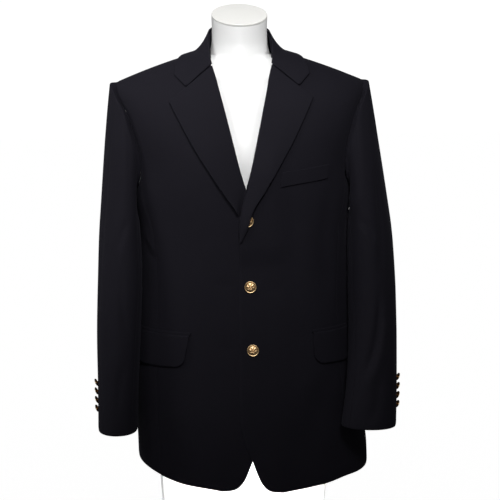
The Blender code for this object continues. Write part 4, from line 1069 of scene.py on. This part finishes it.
# ---------------------------------------------------------------- pockets
def along(side, height, start, lengths):
    """Turns of points at these lengths rearward along a ring from a distance across."""
    first = float(turn_at(start / half_width(side, height), height))
    turns = np.linspace(first, first + POCKET_TURN, POCKET_STEPS + 1)
    steps = np.linalg.norm(np.diff(body(side * turns, height), axis=0), axis=-1)
    return np.interp(lengths, np.concatenate([[0.0], np.cumsum(steps)]), turns)


def pocket_numbers(side):
    if side > 0:
        return FLAP_FRONT_LEFT, FLAP_SLANT_LEFT
    return FLAP_FRONT_RIGHT, FLAP_SLANT_RIGHT


def flap_grid(side, depth):
    front, slant = pocket_numbers(side)
    lengths = FLAP_CORNER * (1 - np.cos(np.linspace(0.0, math.pi / 2, FLAP_CORNER_STEPS + 1)))
    lengths = np.concatenate([lengths, np.linspace(FLAP_CORNER, FLAP_LENGTH, FLAP_COLUMNS + 1)[1:]])
    inside = np.clip(1 - lengths / FLAP_CORNER, 0.0, 1.0)
    corner = FLAP_CORNER * (1 - np.sqrt(1 - inside**2))
    drop = FLAP_HEIGHT + FLAP_DIP * lengths / FLAP_LENGTH - corner
    v = np.linspace(0.0, 1.0, FLAP_ROWS + 1)[:, None]
    turns = along(side, FLAP_TOP, front, lengths)[None, :]
    slanted = slant / FLAP_RADIUS * v * (1 - lengths / FLAP_LENGTH)
    out = LAYER_GAP + FLAP_WALL - depth + FLAP_STANDOFF * v
    return facing_out(body(side * (turns + slanted), FLAP_TOP - v * drop, out)[::-1], side)


def jet_grid(side, depth):
    front, _ = pocket_numbers(side)
    lengths = np.linspace(-JET_END, FLAP_LENGTH + JET_END, JET_COLUMNS + 1)
    turns = along(side, FLAP_TOP, front - JET_END, lengths + JET_END)[None, :]
    heights = FLAP_TOP + JET_GAP + JET_HEIGHT * np.linspace(0.0, 1.0, JET_ROWS + 1)[:, None]
    return facing_out(body(side * turns, heights, LAYER_GAP + JET_WALL - depth), side)


def welt_grid(depth):
    u = gathered(WELT_COLUMNS)[None, :]
    v = gathered(WELT_ROWS)[:, None]
    across = blend(WELT_FRONT_X, WELT_BACK_X, u) + WELT_LEAN * v
    z = blend(WELT_FRONT_Z, WELT_BACK_Z, u) + WELT_HEIGHT * v
    height = height_at(across, z)
    lap = front_lap(1, across, height)
    return on_front(1, across, height, lap + LAYER_GAP + WELT_WALL - depth)


# ---------------------------------------------------------------- the dress form
def form_ring(height, inset, turns):
    """One of the jacket's rings without the sway, drawn in level."""
    step = 1e-3
    behind, ring, ahead = (
        body_point(turns + shift, np.full(len(turns), height), swaying=False)
        for shift in (-step, 0.0, step)
    )
    around = ahead - behind
    outward = unit(np.stack([-around[:, 1], around[:, 0], np.zeros(len(turns))], axis=-1))
    outward *= np.sign((outward * (ring - [0.0, RIDGE_Y, 0.0])).sum(axis=-1, keepdims=True))
    return ring - inset * outward


def neck_ring(row, turns):
    x = row.half_across * np.sin(turns)
    y = row.centre_y - row.half_deep * np.cos(turns)
    slant = NECK_TILT * ease((row.z - FORM_NECK[0].z) / (FORM_NECK[-1].z - FORM_NECK[0].z))
    return np.stack([x, y, row.z + slant * (y - row.centre_y)], axis=-1)


def form_rings():
    turns = (np.arange(FORM_SIDES) + 0.5) * 2 * math.pi / FORM_SIDES
    rings = []
    for height in FORM_HEIGHTS:
        rings.append(form_ring(height, follow(FORM_BODY, "inset", height), turns))
    shoulder, base = rings[-1], neck_ring(FORM_NECK[0], turns)
    for share in FORM_SHOULDER_STEPS:
        plan = blend(shoulder, base, share)
        top = on_shoulder(plan[:, 0], plan[:, 1], 0.0)[:, 2]
        rings.append(np.stack([plan[:, 0], plan[:, 1], top - FORM_CLEARANCE], axis=-1))
    for z in FORM_NECK_HEIGHTS:
        rings.append(neck_ring(row_at(FORM_NECK, z), turns))
    rings[0][:, 2] = 0.0
    return np.array(rings)


def form_cap(rings):
    """A thin plate that closes the slanted neck, with a rounded rim."""
    top = rings[-1]
    centre = top.mean(axis=0)
    lift = unit(np.array([0.0, -NECK_TILT, 1.0]))
    rim = [
        centre + (top - centre) * size + lift * (SEAM_GAP + CAP_HEIGHT * share)
        for share, size in CAP_RIM
    ]
    return np.array(rim)


# ---------------------------------------------------------------- finishes
class Value:
    """A number that a node gives; arithmetic on it adds Math nodes to its tree."""

    def __init__(self, tree, socket):
        self.tree = tree
        self.socket = socket

    def math(self, operation, *values, clamp=False):
        node = self.tree.nodes.new("ShaderNodeMath")
        node.operation = operation
        node.use_clamp = clamp
        for socket, value in zip(node.inputs, values):
            join(self.tree, socket, value)
        return Value(self.tree, node.outputs[0])

    def __add__(self, other):
        return self.math("ADD", self, other)

    def __sub__(self, other):
        return self.math("SUBTRACT", self, other)

    def __rsub__(self, other):
        return self.math("SUBTRACT", other, self)

    def __mul__(self, other):
        return self.math("MULTIPLY", self, other)

    def __pow__(self, other):
        return self.math("POWER", self, other)

    __radd__ = __add__
    __rmul__ = __mul__

    def sine(self):
        return self.math("SINE", self)

    def within(self, low, high):
        """0 below low, 1 above high, straight between them."""
        return self.math("MULTIPLY", self - low, 1 / (high - low), clamp=True)


def join(tree, socket, value):
    """Links a node's output to a socket, or sets the socket to a plain value."""
    if isinstance(value, Value):
        tree.links.new(value.socket, socket)
    else:
        socket.default_value = value


class Finish:
    """A new material, its Principled BSDF and the nodes that feed it."""

    def __init__(self, name, **sockets):
        self.material = bpy.data.materials.new(name)
        self.material.use_nodes = True
        self.tree = self.material.node_tree
        self.shader = self.tree.nodes["Principled BSDF"]
        self.set(**sockets)

    def set(self, **sockets):
        for name, value in sockets.items():
            join(self.tree, self.shader.inputs[name.replace("_", " ")], value)

    def node(self, kind, settings, sockets, output=0):
        """A node of a type, with its settings made before its sockets are set or linked."""
        made = self.tree.nodes.new(kind)
        for name, value in settings.items():
            setattr(made, name, value)
        for name, value in sockets.items():
            join(self.tree, made.inputs[name], value)
        return Value(self.tree, made.outputs[output])

    def parts(self, vector):
        """The three numbers of a vector."""
        split = self.tree.nodes.new("ShaderNodeSeparateXYZ")
        join(self.tree, split.inputs[0], vector)
        return [Value(self.tree, output) for output in split.outputs]

    def noise(self, where, scale, detail=3.0, roughness=0.55):
        sockets = {"Vector": where, "Scale": scale, "Detail": detail, "Roughness": roughness}
        return self.node("ShaderNodeTexNoise", {}, sockets)

    def mix(self, share, start, end):
        """A colour between two, each given as a tuple or as another node's colour."""
        made = self.tree.nodes.new("ShaderNodeMix")
        made.data_type = "RGBA"
        join(self.tree, made.inputs[0], share)
        for socket, colour in ((made.inputs[6], start), (made.inputs[7], end)):
            join(self.tree, socket, colour if isinstance(colour, Value) else (*colour, 1.0))
        return Value(self.tree, made.outputs[2])

    def bump(self, height, strength, distance):
        sockets = {"Height": height, "Strength": strength, "Distance": distance}
        return self.node("ShaderNodeBump", {}, sockets)

    def on_object(self):
        return self.node("ShaderNodeTexCoord", {}, {}, "Object")


def recipe(name, **sockets):
    """Turns a function that fills a finish into one that gives its material, made only once."""

    def wrap(fill):
        def material():
            if name not in bpy.data.materials:
                fill(Finish(name, **sockets), bpy.context.scene.blazer_colours)
            return bpy.data.materials[name]

        return material

    return wrap


@recipe("navy worsted")
def navy_worsted(finish, colours):
    """A fine twill: steep diagonal ribs of crossing yarns, slightly cloudy, with a soft nap."""
    cut = finish.node("ShaderNodeUVMap", {"uv_map": "cut"}, {})
    u, v, _ = finish.parts(cut)
    place = finish.on_object()
    fuzz = finish.noise(place, 1400.0, 2.0)
    cloud = finish.noise(place, 7.0, 4.0)
    slub = finish.noise(place, 160.0, 3.0)
    ribs = ((u * 0.8 + v) * (2 * math.pi / TWILL_PITCH) + slub * 1.6).sine() * 0.5 + 0.5
    yarns = (u * (2 * math.pi / YARN_PITCH)).sine() * (v * (2 * math.pi / YARN_PITCH)).sine()
    weave = ribs * 0.7 + yarns * 0.15 + fuzz * 0.3
    tone = (weave * 0.45 + cloud.within(0.3, 0.7) * 0.35 + slub * 0.2).within(0.1, 0.95)
    colour = finish.mix(tone, tuple(colours.cloth_shade), tuple(colours.cloth_light))
    rough = 0.70 + fuzz * 0.12 + cloud * 0.06
    bump = finish.bump(weave, 0.30, 0.00022)
    finish.set(Base_Color=colour, Roughness=rough, Normal=bump)
    finish.set(Specular_IOR_Level=0.12, Sheen_Weight=0.035, Sheen_Roughness=0.5)
    finish.set(Sheen_Tint=(0.80, 0.78, 1.0, 1.0))


@recipe("navy lining")
def navy_lining(finish, colours):
    """A smooth woven lining with fine upright ribs and a low satin gloss."""
    cut = finish.node("ShaderNodeUVMap", {"uv_map": "cut"}, {})
    u, _, _ = finish.parts(cut)
    cloud = finish.noise(finish.on_object(), 30.0)
    ribs = (u * (2 * math.pi / YARN_PITCH)).sine() * 0.5 + 0.5
    deep = tuple(0.6 * part for part in colours.lining)
    colour = finish.mix(ribs * 0.4 + cloud * 0.6, deep, tuple(colours.lining))
    finish.set(Base_Color=colour, Roughness=0.34 + cloud * 0.16)
    finish.set(Normal=finish.bump(ribs, 0.15, 0.0001), Specular_IOR_Level=0.4)


@recipe("button brass", Metallic=1.0)
def button_brass(finish, colours):
    """Polished brass that has gone brown in the hollows of its relief."""
    raised = finish.node("ShaderNodeAttribute", {"attribute_name": "relief"}, {}, "Fac")
    place = finish.on_object()
    smudge = finish.noise(place, 420.0, 4.0)
    grain = finish.noise(place, 2600.0, 2.0)
    shine = (raised * 0.8 + smudge * 0.5 - 0.12).within(0.15, 0.85)
    colour = finish.mix(shine, tuple(colours.brass_shade), tuple(colours.brass))
    finish.set(Base_Color=colour, Roughness=0.46 - shine * 0.20 + grain * 0.08)
    finish.set(Normal=finish.bump(smudge * 0.6 + grain * 0.4, 0.25, 0.0002))


@recipe("form shell")
def form_shell(finish, colours):
    """White moulded shell: a satin skin with the faintest ripple and handling marks."""
    place = finish.on_object()
    ripple = finish.noise(place, 9.0, 2.0)
    grain = finish.noise(place, 520.0, 3.0)
    worn = tuple(0.955 * part for part in colours.form)
    colour = finish.mix(ripple.within(0.35, 0.75), tuple(colours.form), worn)
    finish.set(Base_Color=colour, Roughness=0.34 + ripple * 0.10 + grain * 0.04)
    finish.set(Normal=finish.bump(grain, 0.05, 0.0002))


@recipe("neck plate")
def neck_plate(finish, colours):
    """The warm white plate on the neck, with turning marks that only gloss shows. Its white is set
    darker than the shell's as painted shade of its flat top.
    """
    place = finish.on_object()
    x, y, _ = finish.parts(place)
    radius = (x * x + y * y) ** 0.5
    rings = (radius * (2 * math.pi / 0.0011)).sine() * 0.5 + 0.5
    grain = finish.noise(place, 700.0, 3.0)
    # both tones of the plate carry painted shade: its white is darker than the shell's
    darker = tuple(0.96 * part for part in colours.plate)
    colour = finish.mix(grain.within(0.3, 0.7), tuple(colours.plate), darker)
    finish.set(Base_Color=colour, Roughness=0.42 + grain * 0.10)
    finish.set(Normal=finish.bump(rings * 0.6 + grain * 0.4, 0.08, 0.0002))


@recipe("studio floor", Roughness=0.9, Emission_Strength=1.04)
def studio_floor(finish, colours):
    """Matte white paper with a barely visible tooth."""
    tooth = finish.noise(finish.on_object(), 90.0, 4.0)
    darker = tuple(0.99 * part for part in colours.floor)
    colour = finish.mix(tooth, tuple(colours.floor), darker)
    finish.set(Base_Color=colour, Emission_Color=colour)


# ---------------------------------------------------------------- turned pieces
def relief_height(share, turns):
    """Six curved petals around a raised middle ring, on the dome of a button."""
    petals = 0.5 + 0.5 * np.cos(PETALS * turns + PETAL_TWIST * share)
    ring = sum(np.exp(-(((share - radius) / width) ** 2)) for radius, width in RELIEF_RINGS)
    low, high, run = PETAL_FIELD
    field = ease((share - low) / run) * ease((high - share) / run)
    boss = BOSS_HEIGHT * ease((BOSS_RADIUS - share) / BOSS_RUN)
    return np.clip(RING_HEIGHT * ring + petals * field + boss, 0.0, 1.0)


def facing(place, direction, axis="Z"):
    """Location and rotation of something at a place that turns one of its axes along a direction."""
    turned = Vector(tuple(direction)).to_track_quat(axis, "Y").to_matrix().to_4x4()
    turned.translation = tuple(place)
    return turned


def turned_mesh(name, rings, sharp, tip=None):
    """A closed smooth mesh through rings of equal count, bottom to top, flat or with a tip on top."""
    rows, columns = rings.shape[:2]
    at = np.arange(rows * columns).reshape(rows, columns)
    after = np.roll(at, -1, axis=1)
    faces = np.stack([at[:-1], after[:-1], after[1:], at[1:]], axis=-1).reshape(-1, 4).tolist()
    points = rings.reshape(-1, 3).tolist()
    base, top = at[0][::-1].tolist(), at[-1].tolist()
    if tip is None:
        faces += [base, top]
    else:
        faces += [[low, high, len(points)] for low, high in zip(top, after[-1].tolist())] + [base]
        points.append(tip)
    mesh = bpy.data.meshes.new(name)
    mesh.from_pydata(points, [], faces)
    mesh.shade_smooth()
    mesh.set_sharp_from_angle(angle=math.radians(sharp))
    return mesh


def button_piece(node, foot, normal, radius, dome, shank):
    """A domed brass button with a beaded rim and a petalled relief, on a short shank."""
    turns = np.arange(BUTTON_SIDES) / BUTTON_SIDES * 2 * math.pi
    outline = [(0.001, -shank), (BUTTON_FOOT, -shank), (BUTTON_FOOT, 0.0), (BUTTON_BACK, 0.0)]
    outline += [(across, up * dome) for across, up in BUTTON_RIM]
    edge, edge_up = BUTTON_RIM[-1]
    rows = []
    for across, up in outline:
        rows.append((across, up, BRIGHTNESS if across > BRIGHT_FROM else 0.0))
    for share in np.linspace(edge, 0.0, BUTTON_DOME_ROWS + 1)[1:-1]:
        crown = math.sqrt(1 - (share / edge) ** 2)
        relief = relief_height(share, turns)
        up = dome * (blend(edge_up, BUTTON_TOP, crown) + BUTTON_RELIEF * (relief - 0.5) * crown)
        rows.append((share, up, relief))
    rings, raised = [], []
    for across, up, relief in rows:
        plan = across * radius * np.cos(turns), across * radius * np.sin(turns)
        rings.append(np.stack([*plan, up + np.zeros(BUTTON_SIDES)], axis=-1))
        raised.append(relief + np.zeros(BUTTON_SIDES))
    mesh = turned_mesh(f"{node}_brass", np.array(rings), BUTTON_SHARP, (0.0, 0.0, dome * BUTTON_TIP))
    mesh.transform(facing(foot, normal))
    worn = mesh.attributes.new("relief", "FLOAT", "POINT")
    worn.data.foreach_set("value", np.append(np.concatenate(raised), 1.0))
    return new_piece(mesh.name, mesh, node, "button_brass", button_brass())


# ---------------------------------------------------------------- sizes and colours to change
def metres(label, text, default, low, high):
    shared = {"subtype": "DISTANCE", "unit": "LENGTH"}
    return FloatProperty(name=label, description=text, default=default, min=low, max=high, **shared)


def colour(label, text, default):
    shared = {"min": 0.0, "max": 1.0, "size": 3, "subtype": "COLOR"}
    return FloatVectorProperty(name=label, description=text, default=default, **shared)


class BlazerSizes(PropertyGroup):
    wall: metres("Cloth", "Thickness of the jacket's cloth with its canvas", WALL, 0.001, 0.003)
    lapel_wall: metres("Lapel", "Thickness of a lapel's folded cloth", LAPEL_WALL, 0.0015, 0.004)
    collar_wall: metres("Collar", "Thickness of the collar's fall", COLLAR_WALL, 0.0015, 0.004)
    flap_wall: metres("Pocket flaps", "Thickness of a pocket flap", FLAP_WALL, 0.0015, 0.004)
    front_button: metres("Front button", "Radius of a front button", FRONT_BUTTON_RADIUS, 0.009, 0.0125)
    cuff_button: metres("Cuff button", "Radius of a cuff button", CUFF_BUTTON_RADIUS, 0.005, 0.008)


class BlazerColours(PropertyGroup):
    cloth_light: colour("Cloth", "Navy where the ribs catch the light", (0.0185, 0.0172, 0.0245))
    cloth_shade: colour("Cloth shade", "Navy between the ribs", (0.0120, 0.0110, 0.0165))
    lining: colour("Lining", "Navy of the lining", (0.016, 0.017, 0.034))
    brass: colour("Brass", "Brass on the raised parts of a button", (0.83, 0.60, 0.33))
    brass_shade: colour("Brass shade", "Brown brass in the hollows", (0.34, 0.17, 0.065))
    form: colour("Dress form", "White of the dress form's shell", (0.90, 0.90, 0.895))
    # the plate's white is darker than the shell's: painted shade of the neck's flat top
    plate: colour("Neck plate", "Warm white of the plate on the neck", (0.77, 0.765, 0.74))
    floor: colour("Floor", "White of the studio floor", (0.93, 0.93, 0.93))


# ---------------------------------------------------------------- one operator for each group
class BLAZER_OT_dress_form(Operator):
    """Build the limbless dress form and the plate on its neck"""

    bl_idname = "blazer.dress_form"
    bl_label = "Dress form"

    def execute(self, context):
        rings = form_rings()
        for name, node, shape, slot, material in (
            ("dress_form", "form_body", rings, "form_white", form_shell()),
            ("dress_form_neck_plate", "form_neck_cap", form_cap(rings), "form_cap", neck_plate()),
        ):
            new_piece(name, turned_mesh(name, shape, FORM_SHARP), node, slot, material)
        return {"FINISHED"}


class BLAZER_OT_body(Operator):
    """Build the fronts, the sides and the backs"""

    bl_idname = "blazer.body"
    bl_label = "Fronts, sides and backs"

    def execute(self, context):
        wall = context.scene.blazer_sizes.wall
        for side, label in HALVES:
            for name, grid in (("front", front_panel), ("side", side_panel), ("back", back_panel)):
                inner = grid(side, wall)
                if name != "side":
                    inner = lipped(side, inner)
                cloth(f"{name}_{label}", grid(side, 0.0), inner)
        return {"FINISHED"}


class BLAZER_OT_sleeves(Operator):
    """Build the two pieces of each sleeve"""

    bl_idname = "blazer.sleeves"
    bl_label = "Sleeves"

    def execute(self, context):
        wall = context.scene.blazer_sizes.wall
        for side, label in HALVES:
            outer = sleeve_surface(side)
            inner = outer - side * wall * grid_normals(outer, closed=True)
            head = np.clip(1 - np.arange(len(inner)) / SLEEVE_STEPS[0], 0.0, 1.0)
            inner[..., 0] += side * ARMHOLE_LIP * head[:, None]
            count = outer.shape[1]
            under = np.arange(HIGH_ROWS, HIGH_ROWS + SIDE_COLUMNS + 1)
            top = np.arange(HIGH_ROWS + SIDE_COLUMNS, HIGH_ROWS + count + 1) % count
            for part, columns in (("under", under), ("top", top)):
                grids = [trimmed(grid[:, columns], SLEEVE_SEAM / 2) for grid in (outer, inner)]
                grids = [facing_out(grid, side)[::-1, ::-1] for grid in grids]
                rests_on = [f"front_{label}_cloth", f"back_{label}_cloth"]
                cloth(f"sleeve_{part}_{label}", *grids, held="hung", rests_on=rests_on)
        return {"FINISHED"}


class BLAZER_OT_lapels(Operator):
    """Build both lapels, the collar's fall and its stand"""

    bl_idname = "blazer.lapels"
    bl_label = "Lapels and collar"

    def execute(self, context):
        sizes = context.scene.blazer_sizes
        for side, label in HALVES:
            outer, inner = lapel_grid(side, 0.0), lapel_grid(side, sizes.lapel_wall)
            rests_on = [f"front_{label}_cloth"]
            cloth(f"lapel_{label}", outer, inner, "folded", rests_on, False)
        shoulders = ["back_left_cloth", "back_right_cloth"]
        for name, grid, wall in (
            ("collar_fall", collar_fall_grid(), sizes.collar_wall),
            ("collar_stand", collar_stand_grid(), STAND_WALL),
        ):
            inner = grid - wall * grid_normals(grid)
            cloth(name, grid, inner, "folded", shoulders, False)
        return {"FINISHED"}


class BLAZER_OT_pockets(Operator):
    """Build the flaps, the jetted pocket mouths and the breast welt"""

    bl_idname = "blazer.pockets"
    bl_label = "Pockets"

    def execute(self, context):
        wall = context.scene.blazer_sizes.flap_wall
        for side, label in HALVES:
            rests_on = [f"front_{label}_cloth"]
            outer, inner = jet_grid(side, 0.0), jet_grid(side, JET_WALL)
            jet = cloth(f"jet_{label}", outer, inner, seams=False)
            outer, inner = flap_grid(side, 0.0), flap_grid(side, wall)
            cloth(f"flap_{label}", outer, inner, "laid", rests_on, False, [jet])
        outer, inner = welt_grid(0.0), welt_grid(WELT_WALL)
        cloth("breast_welt", outer, inner, "laid", ["front_left_cloth"], False)
        return {"FINISHED"}


class BLAZER_OT_front_buttons(Operator):
    """Build the three front buttons"""

    bl_idname = "blazer.front_buttons"
    bl_label = "Front buttons"

    def execute(self, context):
        radius = context.scene.blazer_sizes.front_button
        for index, z in enumerate(FRONT_BUTTON_HEIGHTS, 1):
            out = float(front_lap(1, np.array(0.0), np.array(z))) + LAYER_GAP + FRONT_BUTTON_SHANK
            foot, above = on_front(1, np.zeros(2), z, np.array([out, out + 0.01]))
            sizes = radius, FRONT_BUTTON_DOME, FRONT_BUTTON_SHANK
            button_piece(f"front_button_{index}", foot, above - foot, *sizes)
        return {"FINISHED"}


class BLAZER_OT_cuff_buttons(Operator):
    """Build the four buttons on each cuff"""

    bl_idname = "blazer.cuff_buttons"
    bl_label = "Cuff buttons"

    def execute(self, context):
        sizes = context.scene.blazer_sizes.cuff_button, CUFF_BUTTON_DOME, CUFF_BUTTON_SHANK
        around = CUFF_BUTTON_TURN + CUFF_BUTTON_SPAN * np.array([-1.0, 0.0, 1.0])
        down = np.array([0.0, 0.0, -math.sin(CUFF_BUTTON_DROOP)])
        for side, label in HALVES:
            rings = rings_of(side)[::-1]
            for index in range(CUFF_BUTTON_COUNT):
                z = rings[0].z + CUFF_BUTTON_FIRST + CUFF_BUTTON_PITCH * index
                behind, foot, ahead = sleeve_ring(side, row_at(rings, z), around)
                x, y, _ = side * (ahead - behind)
                outward = unit(np.array([y, -x, 0.0]))
                outward = outward * np.sign(outward[0] * side)
                normal = outward * math.cos(CUFF_BUTTON_DROOP) + down
                point = foot + CUFF_BUTTON_STANDOFF * outward
                button_piece(f"cuff_button_{label}_{index + 1}", point, normal, *sizes)
        return {"FINISHED"}


class BLAZER_OT_stage(Operator):
    """Set up the pale floor, the soft studio lights and the camera"""

    bl_idname = "blazer.stage"
    bl_label = "Stage"

    def execute(self, context):
        scene = context.scene
        mesh = bpy.data.meshes.new("studio_floor")
        corners = ((-1, -1), (1, -1), (1, 1), (-1, 1))
        points = [(x * FLOOR_HALF, y * FLOOR_HALF, 0.0) for x, y in corners]
        mesh.from_pydata(points, [], [(0, 1, 2, 3)])
        mesh.materials.append(studio_floor())
        floor = linked("studio_floor", mesh)
        floor.visible_diffuse = False
        floor.visible_glossy = False
        world = bpy.data.worlds.new("studio")
        world.use_nodes = True
        rays = world.node_tree.nodes.new("ShaderNodeLightPath")
        seen = Value(world.node_tree, rays.outputs["Is Camera Ray"])
        strength = seen * (BACKDROP_STRENGTH - AMBIENT_STRENGTH) + AMBIENT_STRENGTH
        backdrop = world.node_tree.nodes["Background"]
        backdrop.inputs["Color"].default_value = (1.0, 1.0, 1.0, 1.0)
        join(world.node_tree, backdrop.inputs["Strength"], strength)
        scene.world = world
        kinds = ("jacket", "form", "buttons")
        lit = {kind: bpy.data.collections.new(f"{kind}_pieces") for kind in kinds}
        for piece in scene.objects:
            if piece.type == "MESH" and piece is not floor:
                kind = "form" if piece.name.startswith("dress_form") else "jacket"
                lit["buttons" if "_button_" in piece.name else kind].objects.link(piece)
        for row in LAMPS:
            lamp = bpy.data.lights.new(row.name, "AREA")
            lamp.shape = "DISK"
            lamp.size = row.size
            lamp.spread = math.radians(row.spread)
            lamp.energy = row.power
            holder = linked(row.name, lamp)
            holder.matrix_world = facing(row.place, Vector(row.aim) - Vector(row.place), "-Z")
            holder.light_linking.receiver_collection = lit[row.lights]
        scene.view_settings.view_transform = "Standard"
        scene.camera = photo_camera()
        return {"FINISHED"}


def photo_camera():
    """A camera that stands, looks and leans as the photograph's did."""
    data = bpy.data.cameras.new("camera")
    data.sensor_width = SENSOR_WIDTH
    data.lens = PHOTO_FOCAL / PHOTO_SIZE * SENSOR_WIDTH
    data.dof.use_dof = False
    camera = linked("camera", data)
    heading = CAMERA_AIM - CAMERA_AZIMUTH
    level_ahead = Vector((math.sin(heading), math.cos(heading), 0.0))
    ahead = level_ahead * math.cos(CAMERA_PITCH) - Vector((0.0, 0.0, math.sin(CAMERA_PITCH)))
    right = Vector((level_ahead.y, -level_ahead.x, 0.0))
    up = right.cross(ahead)
    leaning_right = right * math.cos(CAMERA_ROLL) - up * math.sin(CAMERA_ROLL)
    leaning_up = right * math.sin(CAMERA_ROLL) + up * math.cos(CAMERA_ROLL)
    turned = Matrix((leaning_right, leaning_up, -ahead)).transposed().to_4x4()
    turned.translation = (
        CAMERA_DISTANCE * math.sin(CAMERA_AZIMUTH),
        -CAMERA_DISTANCE * math.cos(CAMERA_AZIMUTH),
        CAMERA_HEIGHT,
    )
    camera.matrix_world = turned
    return camera


class BLAZER_PT_panel(Panel):
    """Lists the blazer's pieces, sizes and colours"""

    bl_label = "Blazer"
    bl_space_type = "VIEW_3D"
    bl_region_type = "UI"
    bl_category = "Blazer"

    def draw(self, context):
        layout = self.layout
        for group in (context.scene.blazer_sizes, context.scene.blazer_colours):
            box = layout.box()
            for name in group.__annotations__:
                box.prop(group, name)
        for operator in OPERATORS:
            layout.operator(operator.bl_idname)


OPERATORS = (
    BLAZER_OT_dress_form,
    BLAZER_OT_body,
    BLAZER_OT_sleeves,
    BLAZER_OT_lapels,
    BLAZER_OT_pockets,
    BLAZER_OT_front_buttons,
    BLAZER_OT_cuff_buttons,
    BLAZER_OT_stage,
)
CLASSES = (BlazerSizes, BlazerColours, *OPERATORS, BLAZER_PT_panel)


def register():
    for made in CLASSES:
        bpy.utils.register_class(made)
    bpy.types.Scene.blazer_sizes = PointerProperty(type=BlazerSizes)
    bpy.types.Scene.blazer_colours = PointerProperty(type=BlazerColours)


def unregister():
    del bpy.types.Scene.blazer_colours
    del bpy.types.Scene.blazer_sizes
    for made in reversed(CLASSES):
        bpy.utils.unregister_class(made)


def main():
    register()
    for operator in OPERATORS:
        group, name = operator.bl_idname.split(".")
        getattr(getattr(bpy.ops, group), name)()


if __name__ == "__main__":
    main()
